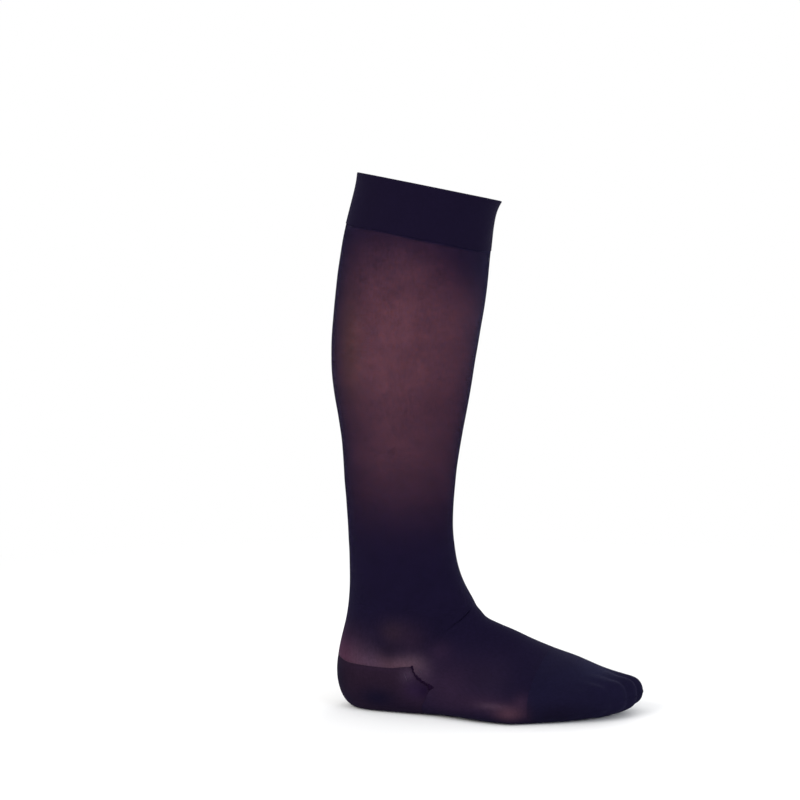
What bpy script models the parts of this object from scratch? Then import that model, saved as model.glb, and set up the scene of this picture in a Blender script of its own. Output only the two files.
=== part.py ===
"""A knee-length compression stocking with a closed toe, in the hollow form it keeps on a right leg.

Run it with blender --background --python part.py. Metres, +Z up. The origin is the middle of the cuff's
mouth, +X points to the toes, +Y to the inner (big toe) side and -Y to the outer side.

The cloth is one tube. Its sections fan out from level rings on the leg to upright ones on the foot, like
the courses of the knitting. A place on the tube is a station, which counts the rows of SECTIONS, and a
turn, which is 0 at the back of the leg and the middle of the sole, 1 at the shin and the top of the foot,
and runs over the outer side where it is positive and the inner side where it is negative.
"""

import functools
import math
from collections import namedtuple

import bmesh
import bpy
import numpy as np

# Driving sizes.
KNIT_WALL = 0.0012  # single knit of the leg and foot
DENSE_WALL = 0.0015  # reinforced knit of the heel and toe
BAND_WALL = 0.0020  # doubled knit of the top band
BAND_PROUD = 0.0004  # the band stands this far outside the leg
SEAM_GAP = 0.0003  # between neighbouring pieces

# The worn form, a row for each section from the mouth to the toe. front and back are the ends of the
# section in the tube's middle plane: x from the back of the heel and z above the ground. On the foot, front
# is its top and back its sole, which runs a little under the ground and is then pressed flat on it. inner
# and outer are the half widths, and widest says where they lie, as a share of the way from back to front.
# lean moves the top inwards and the sole outwards. skew and bow turn and bend the section in plan, so that
# it follows the line of the toes. The squarenesses are 2 on an ellipse and more on a boxy form. arch lifts
# the inner edge of the sole, and lift its outer edge.
Section = namedtuple(
    "Section",
    "name front_x front_z back_x back_z inner outer widest lean skew bow square_front square_back arch lift",
)
SECTIONS = [
    Section("mouth", 0.1318, 0.4078, 0.0182, 0.4292, 0.053, 0.053, 0.47, 0, 0, 0, 2, 2.1, 0, 0),
    Section("flare", 0.1275, 0.3985, 0.0165, 0.4185, 0.053, 0.053, 0.47, 0, 0, 0, 2, 2.1, 0, 0),
    Section("band_end", 0.1232, 0.368, 0.0089, 0.3888, 0.054, 0.055, 0.46, 0, 0, 0, 2, 2.1, 0, 0),
    Section("upper_calf", 0.1192, 0.331, 0.0013, 0.345, 0.056, 0.056, 0.45, 0, 0, 0, 2, 2.1, 0, 0),
    Section("full_calf", 0.1137, 0.2965, -0.0028, 0.305, 0.057, 0.055, 0.44, 0, 0, 0, 2, 2.1, 0, 0),
    Section("mid_calf", 0.1081, 0.263, -0.0027, 0.265, 0.055, 0.052, 0.44, 0, 0, 0, 2, 2.1, 0, 0),
    Section("lower_calf", 0.1019, 0.228, 0.0028, 0.227, 0.049, 0.046, 0.45, 0, 0, 0, 2, 2, 0, 0),
    Section("shin", 0.0965, 0.194, 0.0055, 0.192, 0.041, 0.039, 0.47, 0, 0, 0, 2, 2, 0, 0),
    Section("ankle", 0.0937, 0.158, 0.0078, 0.154, 0.034, 0.034, 0.5, 0, 0, 0, 2, 1.9, 0, 0),
    Section("low_ankle", 0.0946, 0.133, 0.0094, 0.125, 0.033, 0.033, 0.52, 0, 0, 0, 2.1, 1.9, 0, 0),
    Section("over_bones", 0.0994, 0.111, 0.0095, 0.098, 0.034, 0.034, 0.52, 0, 0, 0, 2.1, 1.9, 0, 0),
    Section("bones", 0.1077, 0.093, 0.0068, 0.071, 0.035, 0.035, 0.5, 0.001, 0, 0, 2.1, 2, 0, 0),
    Section("bend", 0.116, 0.08, 0.0008, 0.043, 0.034, 0.034, 0.47, 0.002, 0, 0, 2.1, 2.1, 0, 0),
    Section("heel", 0.1215, 0.0745, 0.001, 0.0195, 0.033, 0.033, 0.43, 0.003, 0, 0, 2.1, 2.2, 0, 0),
    Section("heel_turn", 0.1275, 0.0715, 0.011, 0.002, 0.032, 0.033, 0.41, 0.004, 0, 0, 2.1, 2.3, 0, 0),
    Section("heel_front", 0.1335, 0.0688, 0.032, -0.003, 0.032, 0.033, 0.4, 0.005, 0.01, 0, 2.1, 2.5, 0.002, 0),
    Section("waist", 0.1415, 0.0652, 0.056, -0.003, 0.033, 0.034, 0.38, 0.006, 0.04, 0, 2.1, 2.7, 0.008, 0.001),
    Section("arch", 0.153, 0.0592, 0.086, -0.003, 0.036, 0.038, 0.37, 0.008, 0.1, 0, 2.1, 2.8, 0.01, 0.003),
    Section("instep", 0.171, 0.0508, 0.12, -0.003, 0.04, 0.0445, 0.36, 0.01, 0.19, 1, 2.1, 2.8, 0.006, 0.002),
    Section("ball", 0.189, 0.0445, 0.157, -0.003, 0.043, 0.05, 0.38, 0.01, 0.23, 2.5, 2.1, 2.8, 0.002, 0),
    Section("toe_base", 0.2035, 0.0382, 0.183, -0.003, 0.042, 0.05, 0.42, 0.008, 0.33, 5.5, 2.2, 2.8, 0, 0),
    Section("toes", 0.2165, 0.034, 0.206, -0.0012, 0.041, 0.046, 0.46, 0.005, 0.42, 8.5, 2.3, 2.7, 0, 0),
    Section("toe_ends", 0.227, 0.0315, 0.2225, 0.0012, 0.04, 0.041, 0.48, 0.002, 0.48, 11, 2.4, 2.5, 0, 0),
    Section("toe_round", 0.235, 0.0287, 0.233, 0.0052, 0.038, 0.036, 0.5, 0, 0.5, 12, 2.4, 2.4, 0, 0),
    Section("toe_front", 0.2386, 0.0232, 0.238, 0.0095, 0.036, 0.032, 0.5, 0, 0.5, 12, 2.4, 2.4, 0, 0),
    Section("toe_seam", 0.2396, 0.016, 0.2396, 0.016, 0.034, 0.03, 0.5, 0, 0.5, 12, 2.4, 2.4, 0, 0),
]
STATION = {section.name: number for number, section in enumerate(SECTIONS)}
PRESS_RANGE = 0.0025  # height over which the sole eases into its flat face
ARCH_START_Y = -0.012  # the arch rises from here to its inner edge
ARCH_SPREAD = 0.036
LIFT_START_Y = -0.010  # and the outer edge from here outwards
LIFT_SPREAD = 0.030
CUFF_TILT = 0.08  # how far the cuff rises for each metre outwards
TILT_END = STATION["full_calf"]  # below here the sections are level across again
TILT_FADE = 2  # stations over which the tilt fades

# The heel pocket. Its top edge lies nearly level round the heel, the gore runs from the front of that edge
# to the front of the pocket, and the front edge crosses the sole.
POCKET_TOP_BACK_HEIGHT = 0.0425
POCKET_TOP_SIDE_HEIGHT = 0.0392
POCKET_TOP_SAG = 0.0021  # how far the top edge hangs below a straight line on each side
SAG_START = 0.15  # shares of the way from the back to the gore
SAG_RISE = 0.25
SAG_FALL = 0.2
POCKET_FRONT_SOLE_X = 0.0770
POCKET_FRONT_SIDE_X = 0.0842
SOLE_EDGE_TURN = 0.27  # where the front edge leaves the sole and slants forward up the side
GORE_TOP_TURN = 0.52
GORE_FRONT_TURN = 0.44
GORE_HOLLOW = 0.12  # how far the gore bends back of a straight line, in stations
BEND_STATION = STATION["bones"] + 0.45  # where the leg meets the foot, over the instep
BEND_BOW = 0.3  # how far that edge bows up between the gore and the instep
TOE_CAP_X = 0.172  # the toe cap's edge, in the middle plane
TOE_CAP_SKEW = 0.15  # how far the edge moves forward for each metre inwards

# Soft notches in the line of the toes: y from the middle plane, and depths at the edge and on top.
Notch = namedtuple("Notch", "y edge_depth top_depth half_width")
NOTCHES = [
    Notch(0.0145, 0.0035, 0.0022, 0.0045),
    Notch(-0.0015, 0.0020, 0.0014, 0.0040),
    Notch(-0.0155, 0.0020, 0.0014, 0.0040),
    Notch(-0.0270, 0.0016, 0.0010, 0.0040),
]
NOTCH_RISE = 3.0  # stations over which the notches deepen towards the toes
NOTCH_FALL = 2.0  # stations over which those on top fade before the seam
NOTCH_LOWEST = 0.30  # share of the way up the section where those on top begin

# The creases where the ankle bends, on the outer side and the like on the inner side. Each runs beside the
# leg's lower edge, so many stations ahead of it, from the instep round to its end turn, and fades out on its
# way. Its depth is inwards, or outwards where it is negative.
Fold = namedtuple("Fold", "name ahead end_turn depth half_width")
FOLDS = [
    Fold("outer_trough", 0.00, 0.74, 0.0014, 0.0030),
    Fold("outer_roll", 0.60, 0.84, -0.0005, 0.0035),
    Fold("inner_trough", 0.00, -0.80, 0.0012, 0.0030),
    Fold("inner_roll", 0.60, -0.88, -0.0004, 0.0035),
]

LOW_COLUMNS = 10  # columns of faces from the back to the front of the gore, on each side
GORE_COLUMNS = 6  # along the gore
HIGH_COLUMNS = 13  # from the gore to the shin and the top of the foot
TOE_COLUMNS = 28  # from the sole's middle to the top's, on the toe cap
BAND_ROWS = 4
LEG_ROWS = 23
POCKET_ROWS = 12
FOOT_ROWS = 13
TOE_ROWS = 13
RING_SAMPLES = 121
FOLD_SAMPLES = 13
EDGE_HALVINGS = 40
STATION_STEP = 0.02  # steps between the points that give the surface's slope
TURN_STEP = 0.01
NO_SHIFT = 1e-6
WELD_DISTANCE = 1e-6


# The tube's surface.


def spline(knots, values, places):
    """Natural cubic spline through values, one column each, at the places."""
    count = len(knots)
    step = np.diff(knots)
    matrix = np.eye(count)
    right = np.zeros_like(values)
    for i in range(1, count - 1):
        matrix[i, i - 1:i + 2] = step[i - 1], 2 * (step[i - 1] + step[i]), step[i]
        right[i] = 6 * ((values[i + 1] - values[i]) / step[i] - (values[i] - values[i - 1]) / step[i - 1])
    second = np.linalg.solve(matrix, right)
    left = np.clip(np.searchsorted(knots, places, side="right") - 1, 0, count - 2)
    width = step[left][:, None]
    before = (knots[left + 1] - places)[:, None]
    after = (places - knots[left])[:, None]
    cubic = (second[left] * before**3 + second[left + 1] * after**3) / (6 * width)
    linear_before = (values[left] / width - second[left] * width / 6) * before
    linear_after = (values[left + 1] / width - second[left + 1] * width / 6) * after
    return cubic + linear_before + linear_after


def station_knots():
    """Spline parameter of each station: the root of the distance between sections."""
    ends = np.array([section[1:5] for section in SECTIONS])
    change = np.diff(ends, axis=0)
    front = np.hypot(change[:, 0], change[:, 1])
    back = np.hypot(change[:, 2], change[:, 3])
    return np.concatenate([[0], np.cumsum(np.sqrt((front + back) / 2))])


KNOTS = station_knots()
SIZES = np.array([section[1:] for section in SECTIONS])


def sections_at(station):
    """The table's sizes at stations between its rows, as named columns."""
    places = np.interp(station, np.arange(len(SECTIONS)), KNOTS)
    return Section(None, *spline(KNOTS, SIZES, places).T)


def half_ring(widest, square_front, square_back):
    """A half section from back to front: shares of its depth and of its half width."""
    angle = np.linspace(0, math.pi / 2, RING_SAMPLES)
    cosine = np.clip(np.cos(angle), 0, 1)
    sine = np.sin(angle)
    back_along = widest * (1 - cosine ** (2 / square_back))
    back_out = sine ** (2 / square_back)
    front_along = widest + (1 - widest) * sine ** (2 / square_front)
    front_out = cosine ** (2 / square_front)
    along = np.concatenate([back_along, front_along[1:]])
    out = np.concatenate([back_out, front_out[1:]])
    return along, out


def notch_depths(y):
    """Depth of the toe notches at y: at the toes' edge and on top."""
    edge = np.zeros_like(y)
    top = np.zeros_like(y)
    for notch in NOTCHES:
        bell = np.exp(-(((y - notch.y) / notch.half_width) ** 2))
        edge += notch.edge_depth * bell
        top += notch.top_depth * bell
    return edge, top


def ease(value):
    """Smooth step from 0 to 1."""
    value = np.clip(value, 0, 1)
    return value * value * (3 - 2 * value)


def press(height):
    """Flatten what is under the ground onto it, with a soft edge."""
    soft = (height + PRESS_RANGE) ** 2 / (4 * PRESS_RANGE)
    return np.where(height > PRESS_RANGE, height, np.where(height < -PRESS_RANGE, 0, soft))


def smooth_tube(station, turn):
    """Points of the tube without its folds, x from the heel and z above the ground."""
    size = sections_at(station)
    side = np.where(turn >= 0, -1.0, 1.0)
    half_width = np.where(turn >= 0, size.outer, size.inner)
    depth = np.hypot(size.front_x - size.back_x, size.front_z - size.back_z)
    along = np.empty_like(depth)
    out = np.empty_like(depth)
    for i in range(len(depth)):
        shares, widths = half_ring(size.widest[i], size.square_front[i], size.square_back[i])
        steps = np.hypot(np.diff(shares) * depth[i], np.diff(widths) * half_width[i])
        length = np.concatenate([[0], np.cumsum(steps)])
        place = abs(turn[i]) * length[-1]
        along[i] = np.interp(place, length, shares)
        out[i] = np.interp(place, length, widths)
    y = side * half_width * out + size.lean * (2 * along - 1)
    x = size.back_x + (size.front_x - size.back_x) * along + size.skew * y - size.bow * y * y
    z = size.back_z + (size.front_z - size.back_z) * along
    inner_lift = size.arch * ease((y - ARCH_START_Y) / ARCH_SPREAD)
    outer_lift = size.lift * ease((LIFT_START_Y - y) / LIFT_SPREAD)
    z = z + (inner_lift + outer_lift) * (1 - along) ** 2
    z = z - CUFF_TILT * y * ease((TILT_END - station) / TILT_FADE)
    edge, top = notch_depths(y)
    toward_toes = ease((station - STATION["toe_base"]) / NOTCH_RISE)
    before_seam = ease((STATION["toe_seam"] - station) / NOTCH_FALL)
    x = x - edge * toward_toes
    z = z - top * toward_toes * before_seam * ease((along - NOTCH_LOWEST) / (1 - NOTCH_LOWEST))
    return np.stack([x, y, press(z)], axis=1)


def outward(station, turn):
    """Unit vectors out of the smooth tube."""
    low_station = np.clip(station - STATION_STEP, 0, None)
    high_station = np.clip(station + STATION_STEP, None, STATION["toe_seam"])
    down = smooth_tube(high_station, turn) - smooth_tube(low_station, turn)
    near = np.clip(np.abs(turn), TURN_STEP, 1 - TURN_STEP)
    side = np.where(turn >= 0, 1.0, -1.0)
    across = smooth_tube(station, side * (near + TURN_STEP)) - smooth_tube(station, side * (near - TURN_STEP))
    normal = np.cross(down, across) * side[:, None]
    return normal / np.linalg.norm(normal, axis=1)[:, None]


@functools.cache
def fold_line(fold):
    """Points along a fold, on the smooth tube, and the share of its length at each."""
    share = np.linspace(0, 1, FOLD_SAMPLES)
    side = math.copysign(1, fold.end_turn)
    turn = side + (fold.end_turn - side) * share
    return smooth_tube(leg_end(turn) + fold.ahead, turn), share


def fold_depth(points):
    """Depth of all the folds at points, inwards."""
    depth = np.zeros(len(points))
    for fold in FOLDS:
        line, share = fold_line(fold)
        gap = np.linalg.norm(points[:, None, :] - line[None, :, :], axis=2)
        nearest = gap.argmin(axis=1)
        fade = 1 - ease(share[nearest])
        bell = np.exp(-((gap.min(axis=1) / fold.half_width) ** 2))
        depth += fold.depth * fade * bell
    return depth


MOUTH = SECTIONS[0]
ORIGIN = np.array([(MOUTH.front_x + MOUTH.back_x) / 2, 0, (MOUTH.front_z + MOUTH.back_z) / 2])


def tube(station, turn, proud=0.0):
    """Points of the cloth's outer surface, moved outwards by proud, in the part's frame."""
    station = np.asarray(station, float)
    turn = np.asarray(turn, float)
    points = smooth_tube(station, turn)
    shift = proud - fold_depth(points)
    moved = np.abs(shift) > NO_SHIFT
    if moved.any():
        points[moved] += outward(station[moved], turn[moved]) * shift[moved][:, None]
    return points - ORIGIN


# The seams. Each edge is a station for each turn of an array.


def stations_where(turns, passed, low, high):
    """The first stations between low and high at which points of the tube have passed an edge."""
    low = np.full(len(turns), float(low))
    high = np.full(len(turns), float(high))
    for _ in range(EDGE_HALVINGS):
        middle = (low + high) / 2
        beyond = passed(*smooth_tube(middle, turns).T)
        high = np.where(beyond, middle, high)
        low = np.where(beyond, low, middle)
    return (low + high) / 2


def pocket_top(turns):
    """The pocket's top edge, round the heel."""
    share = np.abs(turns) / GORE_TOP_TURN
    sag = POCKET_TOP_SAG * ease((share - SAG_START) / SAG_RISE) * ease((1 - share) / SAG_FALL)
    height = POCKET_TOP_BACK_HEIGHT + (POCKET_TOP_SIDE_HEIGHT - POCKET_TOP_BACK_HEIGHT) * share - sag
    return stations_where(turns, lambda x, y, z: z < height, STATION["over_bones"], STATION["heel_front"])


def pocket_front(turns):
    """The pocket's front edge: straight across the sole, then slanting forward to the gore."""
    share = np.clip((np.abs(turns) - SOLE_EDGE_TURN) / (GORE_FRONT_TURN - SOLE_EDGE_TURN), 0, 1)
    edge = POCKET_FRONT_SOLE_X + (POCKET_FRONT_SIDE_X - POCKET_FRONT_SOLE_X) * share
    return stations_where(turns, lambda x, y, z: x > edge, STATION["heel_turn"], STATION["instep"])


def toe_cap_edge(turns):
    """The toe cap's edge, a plane across the foot."""
    return stations_where(
        turns, lambda x, y, z: x - TOE_CAP_SKEW * y > TOE_CAP_X, STATION["arch"], STATION["toe_ends"]
    )


def leg_end(turns):
    """The leg's lower edge: the pocket's top, then up over the instep."""
    side = np.where(turns >= 0, 1.0, -1.0)
    corner = pocket_top(side * GORE_TOP_TURN)
    share = (np.abs(turns) - GORE_TOP_TURN) / (1 - GORE_TOP_TURN)
    rise = corner + (BEND_STATION - corner) * share * (1 + BEND_BOW * (1 - share))
    return np.where(share > 0, rise, pocket_top(turns))


def foot_start(turns):
    """The foot's rear edge: the pocket's front, its gore, then the leg's lower edge."""
    side = np.where(turns >= 0, 1.0, -1.0)
    top = pocket_top(side * GORE_TOP_TURN)
    front = pocket_front(side * GORE_FRONT_TURN)
    share = (GORE_TOP_TURN - np.abs(turns)) / (GORE_TOP_TURN - GORE_FRONT_TURN)
    gore = top + (front - top) * share - gore_hollow(share)
    return np.where(share < 0, leg_end(turns), np.where(share > 1, pocket_front(turns), gore))


def gore_hollow(share):
    """How far the gore bends back of a straight line, at a share of its length."""
    return GORE_HOLLOW * 4 * share * (1 - share)


# Making the pieces.


def both_sides(half):
    """Turns once round a ring: up the outer side and down the inner side."""
    return np.concatenate([half, -half[-2:0:-1]])


def ring_turns(gore_columns):
    """Turns of a whole ring's columns, with a column on each end of the gore."""
    low = np.linspace(0, GORE_FRONT_TURN, LOW_COLUMNS + 1)
    gore = np.linspace(GORE_FRONT_TURN, GORE_TOP_TURN, gore_columns + 1)
    high = np.linspace(GORE_TOP_TURN, 1, HIGH_COLUMNS + 1)
    return both_sides(np.concatenate([low, gore[1:], high[1:]]))


def tube_grid(turns, first_edge, last_edge, rows, proud=0.0):
    """Points in rows of faces between two edges, each edge a station for each turn."""
    share = np.linspace(0, 1, rows + 1)[:, None]
    station, turn = np.broadcast_arrays(first_edge * (1 - share) + last_edge * share, turns)
    return tube(station.ravel(), turn.ravel(), proud).reshape(*station.shape, 3)


def draw_back(grid, closed, edges):
    """Move the first or last row of a grid back into it by half a seam gap, square to the edge."""
    rows = {"first": (0, 1), "last": (-1, -2)}
    for edge in edges:
        line, inside = rows[edge]
        border = grid[line]
        if closed:
            tangent = np.roll(border, -1, axis=0) - np.roll(border, 1, axis=0)
        else:
            tangent = np.gradient(border, axis=0)
        tangent /= np.linalg.norm(tangent, axis=1)[:, None]
        into = grid[inside] - border
        into -= tangent * (into * tangent).sum(axis=1)[:, None]
        into /= np.linalg.norm(into, axis=1)[:, None]
        grid[line] = border + into * SEAM_GAP / 2


def cloth_material(name, colour, roughness):
    """A plain knitted cloth finish."""
    material = bpy.data.materials.new(name)
    material.use_nodes = True
    shader = material.node_tree.nodes["Principled BSDF"]
    shader.inputs["Base Color"].default_value = (*colour, 1)
    shader.inputs["Roughness"].default_value = roughness
    shader.inputs["Metallic"].default_value = 0
    return material


def cloth_piece(name, grid, closed, wall, material, collection):
    """A named wall of cloth from rows of points on its outer side."""
    rows, columns = grid.shape[:2]
    last = columns if closed else columns - 1
    faces = []
    for i in range(rows - 1):
        for j in range(last):
            k = (j + 1) % columns
            faces.append((i * columns + j, (i + 1) * columns + j, (i + 1) * columns + k, i * columns + k))
    mesh = bpy.data.meshes.new(name)
    mesh.from_pydata(grid.reshape(-1, 3).tolist(), [], faces)
    mesh.materials.append(material)
    tidy = bmesh.new()
    tidy.from_mesh(mesh)
    bmesh.ops.remove_doubles(tidy, verts=tidy.verts, dist=WELD_DISTANCE)
    tidy.to_mesh(mesh)
    tidy.free()
    mesh.shade_smooth()
    piece = bpy.data.objects.new(name, mesh)
    collection.objects.link(piece)
    thickness = piece.modifiers.new("wall", "SOLIDIFY")
    thickness.thickness = wall
    thickness.offset = -1
    thickness.use_even_offset = True
    return piece


def make_top_band(collection):
    """The doubled band at the cuff, open at its mouth."""
    turns = ring_turns(1)
    grid = tube_grid(turns, STATION["mouth"], STATION["band_end"], BAND_ROWS, BAND_PROUD)
    draw_back(grid, True, ["last"])
    material = cloth_material("band_cloth", (0.009, 0.007, 0.019), 0.75)
    return cloth_piece("top_band", grid, True, BAND_WALL, material, collection)


def make_leg(collection):
    """The leg, from the band to the heel pocket and the instep."""
    turns = ring_turns(1)
    grid = tube_grid(turns, STATION["band_end"], leg_end(turns), LEG_ROWS)
    draw_back(grid, True, ["first", "last"])
    material = cloth_material("leg_cloth", (0.075, 0.034, 0.052), 0.7)
    return cloth_piece("leg", grid, True, KNIT_WALL, material, collection)


def make_heel_pocket(collection):
    """The pocket round the heel, from gore to gore."""
    column = np.linspace(-1, 1, 2 * LOW_COLUMNS + 1)
    share = np.linspace(0, 1, POCKET_ROWS + 1)[:, None]
    top = pocket_top(column * GORE_TOP_TURN)
    front = pocket_front(column * GORE_FRONT_TURN)
    station = top + (front - top) * share - gore_hollow(share) * column**2
    turn = column * (GORE_TOP_TURN + (GORE_FRONT_TURN - GORE_TOP_TURN) * share)
    grid = tube(station.ravel(), turn.ravel()).reshape(*station.shape, 3)
    draw_back(grid, False, ["first", "last"])
    draw_back(grid.transpose(1, 0, 2), False, ["first", "last"])
    material = cloth_material("heel_cloth", (0.018, 0.010, 0.026), 0.75)
    return cloth_piece("heel_pocket", grid, False, DENSE_WALL, material, collection)


def make_foot(collection):
    """The foot, from the heel pocket and the instep to the toe cap."""
    turns = ring_turns(GORE_COLUMNS)
    grid = tube_grid(turns, foot_start(turns), toe_cap_edge(turns), FOOT_ROWS)
    draw_back(grid, True, ["first", "last"])
    material = cloth_material("foot_cloth", (0.014, 0.009, 0.026), 0.7)
    return cloth_piece("foot", grid, True, KNIT_WALL, material, collection)


def make_toe_cap(collection):
    """The closed cap over the toes."""
    turns = both_sides(np.linspace(0, 1, TOE_COLUMNS + 1))
    grid = tube_grid(turns, toe_cap_edge(turns), STATION["toe_seam"], TOE_ROWS)
    draw_back(grid, True, ["first"])
    material = cloth_material("toe_cloth", (0.009, 0.008, 0.022), 0.75)
    return cloth_piece("toe_cap", grid, True, DENSE_WALL, material, collection)


def main():
    for old in list(bpy.data.objects):
        bpy.data.objects.remove(old)
    collection = bpy.data.collections.new("compression_stocking")
    bpy.context.scene.collection.children.link(collection)
    make_top_band(collection)
    make_leg(collection)
    make_heel_pocket(collection)
    make_foot(collection)
    make_toe_cap(collection)


main()
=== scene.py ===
"""The looks of a knee-length compression stocking in its hollow worn form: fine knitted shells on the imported
frame, their stitches and materials, a pale stage, soft lights and the camera.

A place on the tube is a station, which counts the rows of SECTIONS, and a turn, which is 0 at the back of the
leg and the middle of the sole, 1 at the shin and the top of the foot, and runs over the outer side where it
is positive and the inner side where it is negative. Places in tables have x from the back of the heel and z
above the ground. Metres throughout.
"""

import math
from collections import namedtuple

import bmesh
import bpy
import numpy as np
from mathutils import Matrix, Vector


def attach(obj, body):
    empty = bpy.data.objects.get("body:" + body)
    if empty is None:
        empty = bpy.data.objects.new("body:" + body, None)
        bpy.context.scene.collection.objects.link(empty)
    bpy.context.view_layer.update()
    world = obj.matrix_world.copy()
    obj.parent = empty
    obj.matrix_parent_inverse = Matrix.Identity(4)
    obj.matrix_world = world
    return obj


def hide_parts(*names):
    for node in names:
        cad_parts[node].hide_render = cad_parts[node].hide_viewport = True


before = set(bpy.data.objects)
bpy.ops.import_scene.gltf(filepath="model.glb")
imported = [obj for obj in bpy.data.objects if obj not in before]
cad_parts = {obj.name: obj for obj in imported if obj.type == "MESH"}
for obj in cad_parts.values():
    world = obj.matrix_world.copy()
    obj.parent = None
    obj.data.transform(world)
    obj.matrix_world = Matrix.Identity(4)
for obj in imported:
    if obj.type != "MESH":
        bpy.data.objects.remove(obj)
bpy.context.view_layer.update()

# The worn form, as in the part's own source.
Section = namedtuple(
    "Section",
    "name front_x front_z back_x back_z inner outer widest lean skew bow square_front square_back arch lift",
)
SECTIONS = [
    Section("mouth", 0.1318, 0.4078, 0.0182, 0.4292, 0.053, 0.053, 0.47, 0, 0, 0, 2, 2.1, 0, 0),
    Section("flare", 0.1275, 0.3985, 0.0165, 0.4185, 0.053, 0.053, 0.47, 0, 0, 0, 2, 2.1, 0, 0),
    Section("band_end", 0.1232, 0.368, 0.0089, 0.3888, 0.054, 0.055, 0.46, 0, 0, 0, 2, 2.1, 0, 0),
    Section("upper_calf", 0.1192, 0.331, 0.0013, 0.345, 0.056, 0.056, 0.45, 0, 0, 0, 2, 2.1, 0, 0),
    Section("full_calf", 0.1137, 0.2965, -0.0028, 0.305, 0.057, 0.055, 0.44, 0, 0, 0, 2, 2.1, 0, 0),
    Section("mid_calf", 0.1081, 0.263, -0.0027, 0.265, 0.055, 0.052, 0.44, 0, 0, 0, 2, 2.1, 0, 0),
    Section("lower_calf", 0.1019, 0.228, 0.0028, 0.227, 0.049, 0.046, 0.45, 0, 0, 0, 2, 2, 0, 0),
    Section("shin", 0.0965, 0.194, 0.0055, 0.192, 0.041, 0.039, 0.47, 0, 0, 0, 2, 2, 0, 0),
    Section("ankle", 0.0937, 0.158, 0.0078, 0.154, 0.034, 0.034, 0.5, 0, 0, 0, 2, 1.9, 0, 0),
    Section("low_ankle", 0.0946, 0.133, 0.0094, 0.125, 0.033, 0.033, 0.52, 0, 0, 0, 2.1, 1.9, 0, 0),
    Section("over_bones", 0.0994, 0.111, 0.0095, 0.098, 0.034, 0.034, 0.52, 0, 0, 0, 2.1, 1.9, 0, 0),
    Section("bones", 0.1077, 0.093, 0.0068, 0.071, 0.035, 0.035, 0.5, 0.001, 0, 0, 2.1, 2, 0, 0),
    Section("bend", 0.116, 0.08, 0.0008, 0.043, 0.034, 0.034, 0.47, 0.002, 0, 0, 2.1, 2.1, 0, 0),
    Section("heel", 0.1215, 0.0745, 0.001, 0.0195, 0.033, 0.033, 0.43, 0.003, 0, 0, 2.1, 2.2, 0, 0),
    Section("heel_turn", 0.1275, 0.0715, 0.011, 0.002, 0.032, 0.033, 0.41, 0.004, 0, 0, 2.1, 2.3, 0, 0),
    Section("heel_front", 0.1335, 0.0688, 0.032, -0.003, 0.032, 0.033, 0.4, 0.005, 0.01, 0, 2.1, 2.5, 0.002, 0),
    Section("waist", 0.1415, 0.0652, 0.056, -0.003, 0.033, 0.034, 0.38, 0.006, 0.04, 0, 2.1, 2.7, 0.008, 0.001),
    Section("arch", 0.153, 0.0592, 0.086, -0.003, 0.036, 0.038, 0.37, 0.008, 0.1, 0, 2.1, 2.8, 0.01, 0.003),
    Section("instep", 0.171, 0.0508, 0.12, -0.003, 0.04, 0.0445, 0.36, 0.01, 0.19, 1, 2.1, 2.8, 0.006, 0.002),
    Section("ball", 0.189, 0.0445, 0.157, -0.003, 0.043, 0.05, 0.38, 0.01, 0.23, 2.5, 2.1, 2.8, 0.002, 0),
    Section("toe_base", 0.2035, 0.0382, 0.183, -0.003, 0.042, 0.05, 0.42, 0.008, 0.33, 5.5, 2.2, 2.8, 0, 0),
    Section("toes", 0.2165, 0.034, 0.206, -0.0012, 0.041, 0.046, 0.46, 0.005, 0.42, 8.5, 2.3, 2.7, 0, 0),
    Section("toe_ends", 0.227, 0.0315, 0.2225, 0.0012, 0.04, 0.041, 0.48, 0.002, 0.48, 11, 2.4, 2.5, 0, 0),
    Section("toe_round", 0.235, 0.0287, 0.233, 0.0052, 0.038, 0.036, 0.5, 0, 0.5, 12, 2.4, 2.4, 0, 0),
    Section("toe_front", 0.2386, 0.0232, 0.238, 0.0095, 0.036, 0.032, 0.5, 0, 0.5, 12, 2.4, 2.4, 0, 0),
    Section("toe_seam", 0.2396, 0.016, 0.2396, 0.016, 0.034, 0.03, 0.5, 0, 0.5, 12, 2.4, 2.4, 0, 0),
]
STATION = {section.name: number for number, section in enumerate(SECTIONS)}
ORIGIN = np.array([0.0750, 0, 0.4185])
PRESS_RANGE = 0.0025
ARCH_START_Y = -0.012
ARCH_SPREAD = 0.036
LIFT_START_Y = -0.010
LIFT_SPREAD = 0.030
CUFF_TILT = 0.08
TILT_END = STATION["full_calf"]
TILT_FADE = 2
POCKET_TOP_BACK_HEIGHT = 0.0425
POCKET_TOP_SIDE_HEIGHT = 0.0392
POCKET_TOP_SAG = 0.0021
SAG_START = 0.15
SAG_RISE = 0.25
SAG_FALL = 0.2
POCKET_FRONT_SOLE_X = 0.0770
POCKET_FRONT_SIDE_X = 0.0842
SOLE_EDGE_TURN = 0.27
GORE_TOP_TURN = 0.52
GORE_FRONT_TURN = 0.44
GORE_HOLLOW = 0.12
BEND_STATION = STATION["bones"] + 0.45
BEND_BOW = 0.3
TOE_CAP_X = 0.172
TOE_CAP_SKEW = 0.15
Notch = namedtuple("Notch", "y edge_depth top_depth half_width")
NOTCHES = [
    Notch(0.0145, 0.0035, 0.0022, 0.0045),
    Notch(-0.0015, 0.0020, 0.0014, 0.0040),
    Notch(-0.0155, 0.0020, 0.0014, 0.0040),
    Notch(-0.0270, 0.0016, 0.0010, 0.0040),
]
NOTCH_RISE = 3.0
NOTCH_FALL = 2.0
NOTCH_LOWEST = 0.30

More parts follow.
